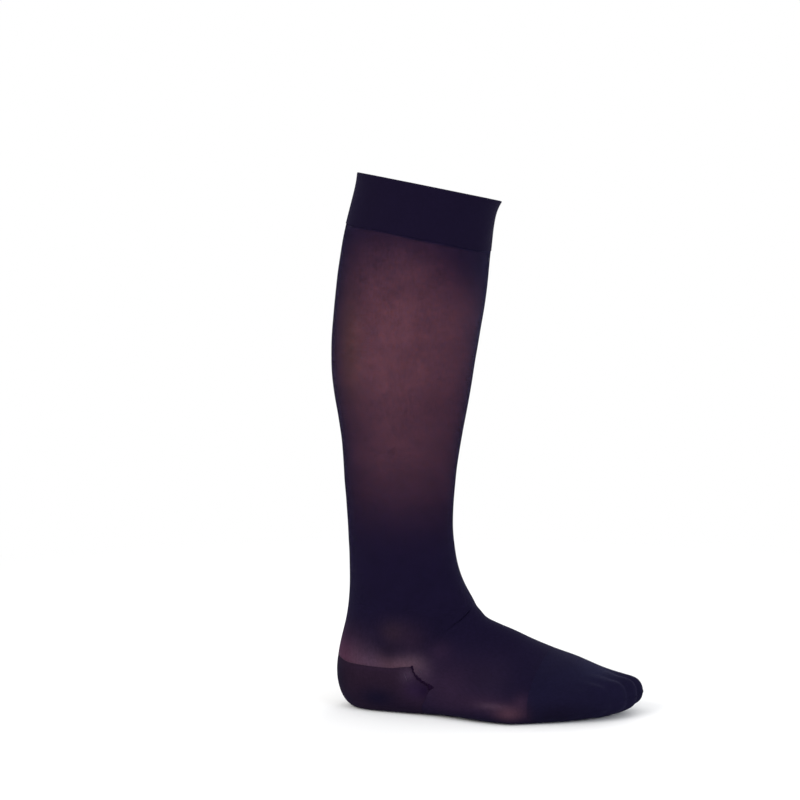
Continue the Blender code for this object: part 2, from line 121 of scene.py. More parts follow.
# Creases beside the leg's lower edge. Each runs from its start turn round to its end turn, deepens and then
# fades out on its way. It lies so many stations ahead of the edge, and starts further back by its drift. The
# depth is inwards, or outwards where it is negative.
Fold = namedtuple("Fold", "name ahead drift start_turn end_turn depth half_width")
FOLDS = [
    Fold("outer_trough", 0.00, 0, 1.00, 0.74, 0.0007, 0.0034),
    Fold("outer_roll", 0.60, 0, 1.00, 0.84, -0.0003, 0.0035),
    Fold("inner_trough", 0.00, 0, -1.00, -0.80, 0.0006, 0.0034),
    Fold("inner_roll", 0.60, 0, -1.00, -0.88, -0.0003, 0.0035),
    Fold("outer_crease", 0.02, 0.11, 0.93, 0.70, 0.0024, 0.00060),
    Fold("inner_crease", 0.02, 0.10, -0.88, -0.74, 0.0017, 0.00060),
    Fold("outer_tuck", -0.34, 0, 0.95, 0.85, 0.0004, 0.0016),
    Fold("inner_tuck", -0.30, 0, -0.90, -0.84, 0.0004, 0.0015),
    Fold("outer_fine", 1.05, 0, 0.98, 0.88, 0.0003, 0.0016),
]
FOLD_START = 0.4  # share of its depth with which a fold starts
FOLD_GROWTH = 0.4  # share of its length over which it deepens
FOLD_REACH = 0.06  # no fold reaches further from its middle
FOLD_SAMPLES = 25

# The cloth.
KNIT_THICK = 0.0005  # leg and foot
DENSE_THICK = 0.0009  # heel and toe
BAND_THICK = 0.0014  # doubled top band
BAND_PROUD = 0.0004  # how far the band stands outside the leg
MOUTH_INSET = 0.07  # stations left for the rounded rim at the mouth
HEM_INSET = 0.0083  # stations left for the rounded hem
BAND_TONGUE = 0.0017  # the band's inner layer runs on behind the top of the leg
# The band's lower edge, as depths under its outer line and distances beyond it.
BAND_HEM = [
    (0.00006, 0.00014),
    (0.00020, 0.00020),
    (0.00055, 0.00022),
    (0.00095, 0.00022),
    (0.00098, 0.00120),
    (0.00108, 0.00160),
]
# Waves of the band's lower edge: how many there are round it, their phase and their height in stations.
Wave = namedtuple("Wave", "count phase height")
BAND_WAVES = [Wave(3, 0.4, 0.0110), Wave(7, 1.9, 0.0066)]
JOIN_GAP = 0.00004  # between the leg's cloth and the foot's
SEAM_GAP = 0.00012  # round the pocket
SEAM_DIP = 0.00022  # how far the cloth sinks beside a seam
SEAM_DIP_WIDTH = 0.0011
FAR = 1.0  # further from a seam than anything that it changes

WALES = 400  # columns of stitches round the leg
COURSE = 0.00055  # height of a row of stitches

# Rows and columns of the grids. Columns are those of half a ring, under the gore, on it and over it.
LOW_COLUMNS = 24
GORE_COLUMNS = 12
HIGH_COLUMNS = 40
TOE_HALF_COLUMNS = 64
BAND_ROWS = 26
LEG_ROWS = 206
LEG_FINEST = 0.14  # the finest row, as a share of the widest
FOOT_ROWS = 120
FOOT_FINEST = 0.3
ROW_GROWTH = 1.02
TOE_ROWS = 84
POCKET_ROWS = 46
RING_SAMPLES = 121
CHUNK = 4096  # points worked out at a time
EDGE_HALVINGS = 40
WELD_DISTANCE = 2e-5
TINY = 1e-12


# The tube's surface.


def spline(knots, values, places):
    """Natural cubic spline through values, one column each, at the places."""
    count = len(knots)
    step = np.diff(knots)
    matrix = np.eye(count)
    right = np.zeros_like(values)
    for i in range(1, count - 1):
        matrix[i, i - 1:i + 2] = step[i - 1], 2 * (step[i - 1] + step[i]), step[i]
        right[i] = 6 * ((values[i + 1] - values[i]) / step[i] - (values[i] - values[i - 1]) / step[i - 1])
    second = np.linalg.solve(matrix, right)
    left = np.clip(np.searchsorted(knots, places, side="right") - 1, 0, count - 2)
    width = step[left][:, None]
    before = (knots[left + 1] - places)[:, None]
    after = (places - knots[left])[:, None]
    cubic = (second[left] * before**3 + second[left + 1] * after**3) / (6 * width)
    linear_before = (values[left] / width - second[left] * width / 6) * before
    linear_after = (values[left + 1] / width - second[left + 1] * width / 6) * after
    return cubic + linear_before + linear_after


def station_knots():
    """Spline parameter of each station: the root of the distance between sections."""
    ends = np.array([section[1:5] for section in SECTIONS])
    change = np.diff(ends, axis=0)
    front = np.hypot(change[:, 0], change[:, 1])
    back = np.hypot(change[:, 2], change[:, 3])
    return np.concatenate([[0], np.cumsum(np.sqrt((front + back) / 2))])


KNOTS = station_knots()
SIZES = np.array([section[1:] for section in SECTIONS])


def sections_at(station):
    """The table's sizes at stations between its rows, as named columns."""
    places = np.interp(station, np.arange(len(SECTIONS)), KNOTS)
    return Section(None, *spline(KNOTS, SIZES, places).T)


def ease(value):
    """Smooth step from 0 to 1."""
    value = np.clip(value, 0, 1)
    return value * value * (3 - 2 * value)


def unit(vectors):
    """The vectors' directions."""
    return vectors / np.maximum(np.linalg.norm(vectors, axis=-1, keepdims=True), TINY)


def square_to(vectors, axes):
    """The vectors without what they have along the axes."""
    axes = unit(axes)
    return vectors - axes * (vectors * axes).sum(axis=-1, keepdims=True)


def press(height):
    """Flatten what is under the ground onto it, with a soft edge."""
    soft = (height + PRESS_RANGE) ** 2 / (4 * PRESS_RANGE)
    return np.where(height > PRESS_RANGE, height, np.where(height < -PRESS_RANGE, 0, soft))


def notch_depths(y):
    """Depth of the toe notches at y: at the toes' edge and on top."""
    edge = np.zeros_like(y)
    top = np.zeros_like(y)
    for notch in NOTCHES:
        bell = np.exp(-(((y - notch.y) / notch.half_width) ** 2))
        edge += notch.edge_depth * bell
        top += notch.top_depth * bell
    return edge, top


def half_rings(size, half_width, depth):
    """Half sections from back to front, one a row: shares of depth and half width, and the length so far."""
    angle = np.linspace(0, math.pi / 2, RING_SAMPLES)
    cosine = np.clip(np.cos(angle), 0, 1)
    sine = np.sin(angle)
    widest = size.widest[:, None]
    back_power = 2 / size.square_back[:, None]
    front_power = 2 / size.square_front[:, None]
    back_along = widest * (1 - cosine**back_power)
    front_along = widest + (1 - widest) * sine**front_power
    along = np.concatenate([back_along, front_along[:, 1:]], axis=1)
    out = np.concatenate([sine**back_power, (cosine**front_power)[:, 1:]], axis=1)
    steps = np.hypot(np.diff(along) * depth[:, None], np.diff(out) * half_width[:, None])
    length = np.concatenate([np.zeros((len(depth), 1)), np.cumsum(steps, axis=1)], axis=1)
    return along, out, length


def read_rows(table, rows, right, share):
    """Values between the columns right - 1 and right of a table, one for each row."""
    left = table[rows, right - 1]
    return left + (table[rows, right] - left) * share


def smooth_tube(station, turn):
    """Points of the tube without its folds, x from the heel and z above the ground."""
    size = sections_at(station)
    side = np.where(turn >= 0, -1.0, 1.0)
    half_width = np.where(turn >= 0, size.outer, size.inner)
    depth = np.hypot(size.front_x - size.back_x, size.front_z - size.back_z)
    rings, widths, length = half_rings(size, half_width, depth)
    rows = np.arange(len(turn))
    place = np.abs(turn) * length[:, -1]
    right = np.clip((length < place[:, None]).sum(axis=1), 1, length.shape[1] - 1)
    before = length[rows, right - 1]
    share = (place - before) / np.maximum(length[rows, right] - before, TINY)
    along = read_rows(rings, rows, right, share)
    out = read_rows(widths, rows, right, share)
    y = side * half_width * out + size.lean * (2 * along - 1)
    x = size.back_x + (size.front_x - size.back_x) * along + size.skew * y - size.bow * y * y
    z = size.back_z + (size.front_z - size.back_z) * along
    inner_lift = size.arch * ease((y - ARCH_START_Y) / ARCH_SPREAD)
    outer_lift = size.lift * ease((LIFT_START_Y - y) / LIFT_SPREAD)
    z = z + (inner_lift + outer_lift) * (1 - along) ** 2
    z = z - CUFF_TILT * y * ease((TILT_END - station) / TILT_FADE)
    edge, top = notch_depths(y)
    toward_toes = ease((station - STATION["toe_base"]) / NOTCH_RISE)
    before_seam = ease((STATION["toe_seam"] - station) / NOTCH_FALL)
    x = x - edge * toward_toes
    z = z - top * toward_toes * before_seam * ease((along - NOTCH_LOWEST) / (1 - NOTCH_LOWEST))
    return np.stack([x, y, press(z)], axis=1)


def tube_points(station, turn):
    """Points of the smooth tube for arrays of any shape, worked out in chunks."""
    station, turn = np.broadcast_arrays(station, turn)
    flat_station = station.ravel()
    flat_turn = turn.ravel()
    parts = []
    for start in range(0, len(flat_station), CHUNK):
        parts.append(smooth_tube(flat_station[start:start + CHUNK], flat_turn[start:start + CHUNK]))
    return np.concatenate(parts).reshape(*station.shape, 3)


# The seams. Each edge is a station for each turn of an array.


def stations_where(turns, passed, low, high):
    """The first stations between low and high at which points of the tube have passed an edge."""
    low = np.full(len(turns), float(low))
    high = np.full(len(turns), float(high))
    for _ in range(EDGE_HALVINGS):
        middle = (low + high) / 2
        beyond = passed(*smooth_tube(middle, turns).T)
        high = np.where(beyond, middle, high)
        low = np.where(beyond, low, middle)
    return (low + high) / 2


def band_end(turns):
    """The band's lower edge, which waves a little."""
    waves = [wave.height * np.sin(wave.count * math.pi * turns + wave.phase) for wave in BAND_WAVES]
    return STATION["band_end"] + sum(waves)


def pocket_top(turns):
    """The pocket's top edge, round the heel."""
    share = np.abs(turns) / GORE_TOP_TURN
    sag = POCKET_TOP_SAG * ease((share - SAG_START) / SAG_RISE) * ease((1 - share) / SAG_FALL)
    height = POCKET_TOP_BACK_HEIGHT + (POCKET_TOP_SIDE_HEIGHT - POCKET_TOP_BACK_HEIGHT) * share - sag
    return stations_where(turns, lambda x, y, z: z < height, STATION["over_bones"], STATION["heel_front"])


def pocket_front(turns):
    """The pocket's front edge: straight across the sole, then slanting forward to the gore."""
    share = np.clip((np.abs(turns) - SOLE_EDGE_TURN) / (GORE_FRONT_TURN - SOLE_EDGE_TURN), 0, 1)
    edge = POCKET_FRONT_SOLE_X + (POCKET_FRONT_SIDE_X - POCKET_FRONT_SOLE_X) * share
    return stations_where(turns, lambda x, y, z: x > edge, STATION["heel_turn"], STATION["instep"])


def toe_cap_edge(turns):
    """The toe cap's edge, a plane across the foot."""
    return stations_where(
        turns, lambda x, y, z: x - TOE_CAP_SKEW * y > TOE_CAP_X, STATION["arch"], STATION["toe_ends"]
    )


def leg_end(turns):
    """The leg's lower edge: the pocket's top, then up over the instep."""
    side = np.where(turns >= 0, 1.0, -1.0)
    corner = pocket_top(side * GORE_TOP_TURN)
    share = (np.abs(turns) - GORE_TOP_TURN) / (1 - GORE_TOP_TURN)
    rise = corner + (BEND_STATION - corner) * share * (1 + BEND_BOW * (1 - share))
    return np.where(share > 0, rise, pocket_top(turns))


def gore_hollow(share):
    """How far the gore bends back of a straight line, at a share of its length."""
    return GORE_HOLLOW * 4 * share * (1 - share)


def foot_start(turns):
    """The foot's rear edge: the pocket's front, its gore, then the leg's lower edge."""
    side = np.where(turns >= 0, 1.0, -1.0)
    top = pocket_top(side * GORE_TOP_TURN)
    front = pocket_front(side * GORE_FRONT_TURN)
    share = (GORE_TOP_TURN - np.abs(turns)) / (GORE_TOP_TURN - GORE_FRONT_TURN)
    gore = top + (front - top) * share - gore_hollow(share)
    return np.where(share < 0, leg_end(turns), np.where(share > 1, pocket_front(turns), gore))


# Grids of points on the cloth. A Cloth holds the outer points and their normals, both in the part's frame,
# the turn of each, and how far each lies from the first and the last row. An edge is the numbers of its row
# and of the row inside it.
Cloth = namedtuple("Cloth", "points normals turn from_first from_last closed")
FIRST = (0, 1)
LAST = (-1, -2)


def both_sides(half):
    """Turns once round a ring: up the outer side and down the inner side."""
    return np.concatenate([half, -half[-2:0:-1]])


def ring_turns():
    """Turns of a whole ring's columns, with a column on each end of the gore."""
    low = np.linspace(0, GORE_FRONT_TURN, LOW_COLUMNS + 1)
    gore = np.linspace(GORE_FRONT_TURN, GORE_TOP_TURN, GORE_COLUMNS + 1)
    high = np.linspace(GORE_TOP_TURN, 1, HIGH_COLUMNS + 1)
    return both_sides(np.concatenate([low, gore[1:], high[1:]]))


def graded(rows, finest):
    """Shares from 0 to 1 in steps that grow from the finest, as a share of the widest, up to the widest."""
    steps = np.minimum(finest * ROW_GROWTH ** np.arange(rows), 1)
    return np.concatenate([[0], np.cumsum(steps)]) / steps.sum()


def steps_along(points, axis, closed):
    """How a grid's points change along one of its axes, which may be closed."""
    if closed:
        return np.roll(points, -1, axis) - np.roll(points, 1, axis)
    return np.gradient(points, axis=axis)


def grid_normals(points, closed):
    """Unit vectors out of the cloth at a grid's points."""
    return unit(np.cross(np.gradient(points, axis=0), steps_along(points, 1, closed)))


def distance_to_line(points, line):
    """Distance of points from a line through points, and the share of its length at the nearest place."""
    start = line[:-1]
    span = np.diff(line, axis=0)
    square = (span**2).sum(axis=1)
    offset = points[:, None, :] - start[None, :, :]
    share = np.clip((offset * span).sum(axis=2) / square, 0, 1)
    gap = np.linalg.norm(offset - share[..., None] * span, axis=2)
    nearest = gap.argmin(axis=1)
    rows = np.arange(len(points))
    return gap[rows, nearest], (nearest + share[rows, nearest]) / len(span)


def fold_depths(points):
    """Depth of all the folds at points of the smooth tube, inwards."""
    depth = np.zeros(len(points))
    for fold in FOLDS:
        turn = np.linspace(fold.start_turn, fold.end_turn, FOLD_SAMPLES)
        drift = fold.drift * np.linspace(1, 0, FOLD_SAMPLES)
        line = smooth_tube(leg_end(turn) + fold.ahead - drift, turn)
        near = np.abs(points - line.mean(axis=0)).max(axis=1) < FOLD_REACH
        gap, share = distance_to_line(points[near], line)
        growth = FOLD_START + (1 - FOLD_START) * ease(share / FOLD_GROWTH)
        depth[near] += fold.depth * growth * (1 - ease(share)) * np.exp(-((gap / fold.half_width) ** 2))
    return depth


# Slow unevenness of the knit: waves across the cloth, with their direction, length and height.
Ripple = namedtuple("Ripple", "x y z phase height")
RIPPLES = [
    Ripple(95, 140, 60, 0.3, 0.00006),
    Ripple(-150, 80, 110, 1.7, 0.00005),
    Ripple(60, -210, 150, 2.9, 0.00004),
    Ripple(230, 120, -90, 4.1, 0.00003),
    Ripple(-110, -190, 250, 5.2, 0.00003),
]


def unevenness(points):
    """Height of the knit's slow unevenness at points."""
    height = np.zeros(points.shape[:-1])
    for ripple in RIPPLES:
        along = points @ np.array([ripple.x, ripple.y, ripple.z])
        height += ripple.height * np.sin(along + ripple.phase)
    return height


def along_columns(points):
    """Distance of each point of a grid from its first row, along its column."""
    steps = np.linalg.norm(np.diff(points, axis=0), axis=2)
    return np.concatenate([np.zeros((1, points.shape[1])), np.cumsum(steps, axis=0)])


def make_cloth(station, turn, closed=True, proud=0.0):
    """The cloth's outer points at a grid of stations and turns, with folds and unevenness."""
    turn = np.broadcast_to(turn, station.shape)
    points = tube_points(station, turn)
    shift = proud - fold_depths(points.reshape(-1, 3)).reshape(station.shape) + unevenness(points)
    points = points + grid_normals(points, closed) * shift[..., None]
    points[..., 2] = np.maximum(points[..., 2], 0)
    length = along_columns(points)
    normals = grid_normals(points, closed)
    return Cloth(points - ORIGIN, normals, turn, length, length[-1] - length, closed)


def pull_back(cloth, edges, distance):
    """The cloth with the rows at its edges moved back into it, square to the edge."""
    points = cloth.points.copy()
    for line, inside in edges:
        border = points[line]
        into = square_to(points[inside] - border, steps_along(border, 0, cloth.closed))
        points[line] = border + unit(into) * distance
    return cloth._replace(points=points)


def dip_at(cloth, distance):
    """The cloth sunk softly where it is near a seam."""
    depth = SEAM_DIP * np.exp(-((distance / SEAM_DIP_WIDTH) ** 2))
    return cloth._replace(points=cloth.points - cloth.normals * depth[..., None])


# Meshes.
SHARP_ANGLE = math.radians(50)


class Shell:
    """Points, faces and looks of a cloth wall, gathered row by row and then made one mesh."""

    def __init__(self):
        self.points = []
        self.looks = []
        self.faces = []
        self.knit = []
        self.count = 0

    def add_points(self, points, looks, closed):
        """Adds a grid of points with their looks.

        Returns their numbers, with the first column again at the end of a closed grid.
        """
        rows, columns = points.shape[:2]
        numbers = self.count + np.arange(rows * columns).reshape(rows, columns)
        self.points.append(points.reshape(-1, 3))
        self.looks.append(looks.reshape(-1, looks.shape[-1]))
        self.count += rows * columns
        return np.concatenate([numbers, numbers[:, :1]], axis=1) if closed else numbers

    def add_faces(self, numbers, knit, flip=False):
        """Adds faces between the rows of a grid of point numbers, with the knit's place at each corner."""
        corners = [(0, 0), (1, 0), (1, 1), (0, 1)]
        if flip:
            corners = corners[::-1]
        rows, columns = numbers.shape[0] - 1, numbers.shape[1] - 1
        for table, target in ((numbers, self.faces), (knit, self.knit)):
            parts = [table[i:i + rows, j:j + columns] for i, j in corners]
            stacked = np.stack(parts, axis=2)
            target.append(stacked.reshape(rows * columns, 4, *table.shape[2:]))

    def build(self, name, material, weld):
        """A named piece of all that was added."""
        mesh = bpy.data.meshes.new(name)
        mesh.from_pydata(np.concatenate(self.points).tolist(), [], np.concatenate(self.faces).tolist())
        looks = np.concatenate(self.looks).astype(np.float32)
        knit = np.concatenate(self.knit).astype(np.float32)
        tone_values = mesh.attributes.new("tone", "FLOAT_VECTOR", "POINT").data
        tone_values.foreach_set("vector", looks[:, :3].ravel())
        sheer_values = mesh.attributes.new("sheer", "FLOAT", "POINT").data
        sheer_values.foreach_set("value", looks[:, 3].copy())
        knit_values = mesh.attributes.new("knit", "FLOAT_VECTOR", "CORNER").data
        knit_values.foreach_set("vector", knit.ravel())
        if weld:
            merged = bmesh.new()
            merged.from_mesh(mesh)
            bmesh.ops.remove_doubles(merged, verts=merged.verts, dist=WELD_DISTANCE)
            merged.to_mesh(mesh)
            merged.free()
        piece = link(mesh, material)
        mesh.set_sharp_from_angle(angle=SHARP_ANGLE)
        return piece


def link(mesh, material):
    """A smooth object of a mesh in the scene, with the mesh's name."""
    mesh.materials.append(material)
    mesh.shade_smooth()
    piece = bpy.data.objects.new(mesh.name, mesh)
    bpy.context.scene.collection.objects.link(piece)
    return piece


def knit_places(cloth):
    """Place of each grid point in the knit: its wale, its course and 0. A closed grid has one more column."""
    turn = cloth.turn[0]
    if cloth.closed:
        turn = np.append(turn, 0.0)
        wale = np.where(turn >= 0, turn / 2, 1 + turn / 2) * WALES
        wale[-1] = WALES
    else:
        wale = (turn / 2) * WALES
    course = cloth.from_first.mean(axis=1) / COURSE
    wale, course = np.meshgrid(wale, course)
    return np.stack([wale, course, np.zeros_like(wale)], axis=2)


ROUND_STEPS = 3


def round_rim(thickness):
    """A rounded edge: how deep each row of points lies under the outer line, and how far beyond it."""
    angles = np.linspace(0, math.pi, ROUND_STEPS + 2)[1:-1]
    return [(thickness * (1 - math.cos(angle)) / 2, thickness * math.sin(angle) / 2) for angle in angles]


def outward_of_edge(cloth, edge):
    """Unit vectors out of a closed cloth's edge, in its plane."""
    line, inside = edge
    away = square_to(cloth.points[line] - cloth.points[inside], steps_along(cloth.points[line], 0, True))
    return unit(square_to(away, cloth.normals[line]))


def add_rim(shell, cloth, numbers, looks, knit, edge, rim):
    """Closes the wall along one edge of a closed grid, with rows of points between its faces."""
    line = edge[0]
    away = outward_of_edge(cloth, edge)
    outer_numbers, inner_numbers = numbers
    strip = [outer_numbers[line]]
    for depth, beyond in rim:
        row = cloth.points[line] - cloth.normals[line] * depth + away * beyond
        strip.append(shell.add_points(row[None], looks[line][None], True)[0])
    strip.append(inner_numbers[line])
    knit_rows = np.broadcast_to(knit[line], (len(strip), *knit[line].shape))
    shell.add_faces(np.stack(strip), knit_rows, flip=edge == FIRST)


def wall(name, cloth, thickness, looks, material, rims=None, tongue=0.0):
    """A thin closed wall of cloth behind a grid of outer points.

    A closed grid has a rim for each of its edges that stays open, and its inner face may run on past the last
    one by a tongue.
    """
    shell = Shell()
    knit = knit_places(cloth)
    inner = cloth.points - cloth.normals * thickness
    if tongue:
        inner[-1] += outward_of_edge(cloth, LAST) * tongue
    numbers = [shell.add_points(points, looks, cloth.closed) for points in (cloth.points, inner)]
    shell.add_faces(numbers[0], knit)
    shell.add_faces(numbers[1], knit, flip=True)
    if not cloth.closed:
        borders = np.stack([boundary(table) for table in numbers])
        shell.add_faces(borders, np.stack([boundary(knit)] * 2), flip=True)
        return shell.build(name, material, weld=False)
    for edge, rim in rims.items():
        add_rim(shell, cloth, numbers, looks, knit, edge, rim)
    return shell.build(name, material, weld=LAST not in rims)


def boundary(table):
    """A grid's entries once round its edge, the first again at the end."""
    return np.concatenate([table[0, :-1], table[:-1, -1], table[-1, :0:-1], table[::-1, 0]])


# Colours and openness of the cloth. A look is the yarn's colour and how much light one face of the cloth lets
# through, from 0 to 1.
BAND_TONE = (0.0060, 0.0038, 0.0138)
LEG_TONE = (0.0058, 0.0038, 0.0148)
CALF_TONE = (0.0150, 0.0110, 0.0240)
HEEL_TONE = (0.0140, 0.0068, 0.0155)
TOE_TONE = (0.0060, 0.0048, 0.0168)
CLEAREST = 0.690  # share of light through one face of the cloth where it is thinnest
FACES_PASSED = 4  # faces of cloth on light's way through the leg

# How open the calf is, next to its thinnest place, by height above the ground.
Level = namedtuple("Level", "height openness")
LEVELS = [
    Level(0.070, 0.0),
    Level(0.100, 0.114),
    Level(0.125, 0.306),
    Level(0.141, 0.48),
    Level(0.160, 0.645),
    Level(0.178, 0.757),
    Level(0.200, 0.832),
    Level(0.233, 0.89),
    Level(0.255, 0.93),
    Level(0.272, 0.98),
    Level(0.316, 0.98),
    Level(0.335, 0.95),
    Level(0.400, 0.95),
]
# Under the band the cloth opens gradually: at each turn, the share of light that passes beside the band, the
# distance over which it opens, and how late it does so.
Shade = namedtuple("Shade", "turn start reach power")
BAND_SHADES = [
    Shade(0.20, 0.17, 0.036, 1.6),
    Shade(0.32, 0.17, 0.034, 1.5),
    Shade(0.50, 0.17, 0.026, 1.2),
    Shade(0.63, 0.16, 0.032, 1.2),
    Shade(0.77, 0.09, 0.038, 3.0),
    Shade(1.00, 0.08, 0.040, 3.0),
]
# Less light passes at the back, and beside the shin. Beside the shin this is painted shade, which darkens the
# front of the calf on the side away from the key light; it changes from one height to another.
BACK_SHADE = 0.50
BACK_SHADE_WIDTH = 0.25  # in turns, as are the next two
SHIN_SHADE_TURN = 0.76
SHIN_SHADE_WIDTH = 0.18
PAINTED_SHIN_SHADES = (0.11, 0.30)
SHIN_SHADE_HEIGHTS = (0.215, 0.250)

# A paler strip over the heel pocket, at each turn with its reach above the pocket's edge, how sharply it ends
# and its colour.
Strip = namedtuple("Strip", "turn reach power red green blue")
STRIPS = [
    Strip(0.17, 0.0165, 2.2, 0.0500, 0.0195, 0.037),
    Strip(0.23, 0.0165, 2.2, 0.0575, 0.0270, 0.047),
    Strip(0.34, 0.0140, 1.8, 0.0510, 0.0276, 0.048),
    Strip(0.43, 0.0094, 2.6, 0.0500, 0.0255, 0.039),
    Strip(0.51, 0.0083, 2.0, 0.0700, 0.0380, 0.056),
]
STRIP_END = 0.565  # turn
STRIP_FADE = 0.075  # turns over which it fades out before that

# Patches of the cloth that have another tone: where they lie, how far they reach, and their strength.
Patch = namedtuple("Patch", "name x z reach_x reach_z colour strength")
KNIT_PATCHES = [
    Patch("calf_back", 0.022, 0.295, 0.010, 0.042, (0.0110, 0.0070, 0.0090), 0.8),
    Patch("calf_front", 0.122, 0.290, 0.012, 0.070, (0.0072, 0.0078, 0.0225), 0.9),
    Patch("tendon", 0.010, 0.062, 0.024, 0.012, (0.020, 0.010, 0.021), 0.35),
    Patch("ankle_bone", 0.054, 0.066, 0.012, 0.010, (0.019, 0.010, 0.019), 0.85),
    Patch("under_bone", 0.050, 0.053, 0.010, 0.005, (0.011, 0.006, 0.014), 0.6),
    Patch("before_bone", 0.068, 0.060, 0.012, 0.014, (0.016, 0.008, 0.019), 0.7),
    Patch("over_instep", 0.0896, 0.0512, 0.009, 0.0085, (0.0165, 0.0082, 0.0225), 0.75),
    Patch("foot_side", 0.098, 0.024, 0.026, 0.022, (0.018, 0.009, 0.023), 0.9),
    Patch("gore_top", 0.0700, 0.0400, 0.0092, 0.0078, (0.066, 0.038, 0.056), 0.85),
    Patch("beside_gore", 0.0775, 0.034, 0.009, 0.0105, (0.036, 0.020, 0.038), 0.5),
    Patch("before_side", 0.1330, 0.030, 0.018, 0.018, (0.0135, 0.0080, 0.0205), 0.6),
    Patch("arch", 0.128, 0.016, 0.022, 0.0065, (0.021, 0.010, 0.024), 0.7),
    Patch("ball_light", 0.160, 0.019, 0.007, 0.006, (0.028, 0.013, 0.028), 0.5),
    Patch("ball_top", 0.1370, 0.0148, 0.012, 0.0023, (0.042, 0.024, 0.042), 0.75),
    Patch("ball_side", 0.1515, 0.0100, 0.0115, 0.0058, (0.050, 0.022, 0.035), 0.85),
    Patch("sole_heel", 0.105, 0.001, 0.025, 0.005, (0.007, 0.0045, 0.016), 0.7),
]
HEEL_PATCHES = [
    Patch("centre", 0.040, 0.0125, 0.017, 0.009, (0.0045, 0.0035, 0.0130), 0.9),
    Patch("gore_light", 0.0655, 0.0335, 0.0062, 0.0068, (0.041, 0.0240, 0.0455), 0.85),
    Patch("gore_side", 0.071, 0.022, 0.009, 0.009, (0.0160, 0.0075, 0.0260), 0.8),
    # The patch at the gore's end is painted shadow: a darker tone at the lower end of the gore's line of
    # stitches.
    Patch("gore_end_painted_shadow", 0.079, 0.021, 0.005, 0.006, (0.006, 0.002, 0.014), 0.7),
    Patch("top_edge", 0.036, 0.038, 0.036, 0.004, (0.018, 0.009, 0.021), 0.6),
    Patch("back", 0.000, 0.024, 0.0115, 0.018, (0.004, 0.0028, 0.009), 0.9),
    Patch("back_low", 0.010, 0.006, 0.012, 0.008, (0.005, 0.0032, 0.012), 0.7),
    Patch("gore_sole", 0.066, 0.006, 0.020, 0.006, (0.007, 0.0040, 0.0140), 0.6),
]
TOE_PATCHES = [
    # The patch on top of the toes is a painted highlight: a paler, bluer tone where the light falls on them.
    Patch("toe_top_painted_highlight", 0.214, 0.038, 0.018, 0.006, (0.0080, 0.0100, 0.0320), 0.35),
    Patch("toe_side", 0.186, 0.008, 0.022, 0.010, (0.0050, 0.0035, 0.0115), 0.8),
    Patch("toe_start", 0.1615, 0.008, 0.006, 0.011, (0.020, 0.0085, 0.0170), 0.6),
]


def patched(points, colour, patches):
    """The cloth's tone at points, with its patches."""
    place = points + ORIGIN
    tone = np.broadcast_to(colour, place.shape).copy()
    for patch in patches:
        across = (place[..., 0] - patch.x) / patch.reach_x
        up = (place[..., 2] - patch.z) / patch.reach_z
        weight = patch.strength * np.exp(-(across**2) - up**2)
        tone += (np.array(patch.colour) - tone) * weight[..., None]
    return tone


def looks_of(tone, openness):
    """Tone and openness together. Open cloth has less yarn to show its tone, so its yarn is lighter."""
    sheer = CLEAREST * openness
    return np.concatenate([tone / (1 - sheer[..., None]), sheer[..., None]], axis=2)


def dense_looks(cloth, colour, patches=()):
    """Looks of cloth that lets no light through."""
    tone = patched(cloth.points, colour, patches)
    return looks_of(tone, np.zeros(tone.shape[:2]))


def foot_looks(cloth):
    """Looks of the foot."""
    return dense_looks(cloth, LEG_TONE, KNIT_PATCHES)


def read_table(table, turn):
    """The values of a table's rows at turns between theirs, without the turns themselves."""
    columns = np.array(table).T
    return [np.interp(np.abs(turn), columns[0], column) for column in columns[1:]]


def leg_openness(cloth):
    """How open the leg's cloth is.

    Light passes several faces on its way through the leg, so each takes that root of a share.
    """
    height = (cloth.points + ORIGIN)[..., 2]
    round_leg = np.abs(cloth.turn)
    level = np.interp(height, [level.height for level in LEVELS], [level.openness for level in LEVELS])
    start, reach, power = read_table(BAND_SHADES, cloth.turn)
    below_band = 1 - (1 - start) * np.exp(-((cloth.from_first / reach) ** power))
    back = 1 - BACK_SHADE * np.exp(-((round_leg / BACK_SHADE_WIDTH) ** 2))
    # Painted shade: less light passes beside the shin, so the front of the calf looks darker.
    painted_shin_shade = np.interp(height, SHIN_SHADE_HEIGHTS, PAINTED_SHIN_SHADES)
    shin = 1 - painted_shin_shade * np.exp(-(((round_leg - SHIN_SHADE_TURN) / SHIN_SHADE_WIDTH) ** 2))
    return level * (below_band * back * shin) ** (1 / FACES_PASSED)


def leg_looks(cloth):
    """Looks of the leg: sheer on the calf, dense below it, with the paler strip over the heel pocket."""
    openness = leg_openness(cloth)
    tone = patched(cloth.points, LEG_TONE, KNIT_PATCHES)
    tone += (np.array(CALF_TONE) - LEG_TONE) * (openness**FACES_PASSED)[..., None]
    reach, power, *colour = read_table(STRIPS, cloth.turn)
    weight = np.exp(-((cloth.from_last / reach) ** power))
    weight = weight * ease((STRIP_END - np.abs(cloth.turn)) / STRIP_FADE)
    tone += (np.stack(colour, axis=2) - tone) * weight[..., None]
    return looks_of(tone, openness)


# Materials.


def add_node(tree, kind, settings=None, **inputs):
    """A node with its settings, whose inputs are values or other nodes' sockets."""
    node = tree.nodes.new(kind)
    for name, value in (settings or {}).items():
        setattr(node, name, value)
    for name, value in inputs.items():
        key = int(name[1:]) if name[0] == "i" and name[1:].isdigit() else name.replace("_", " ")
        socket = node.inputs[key]
        if isinstance(value, bpy.types.NodeSocket):
            tree.links.new(value, socket)
        else:
            socket.default_value = value
    return node


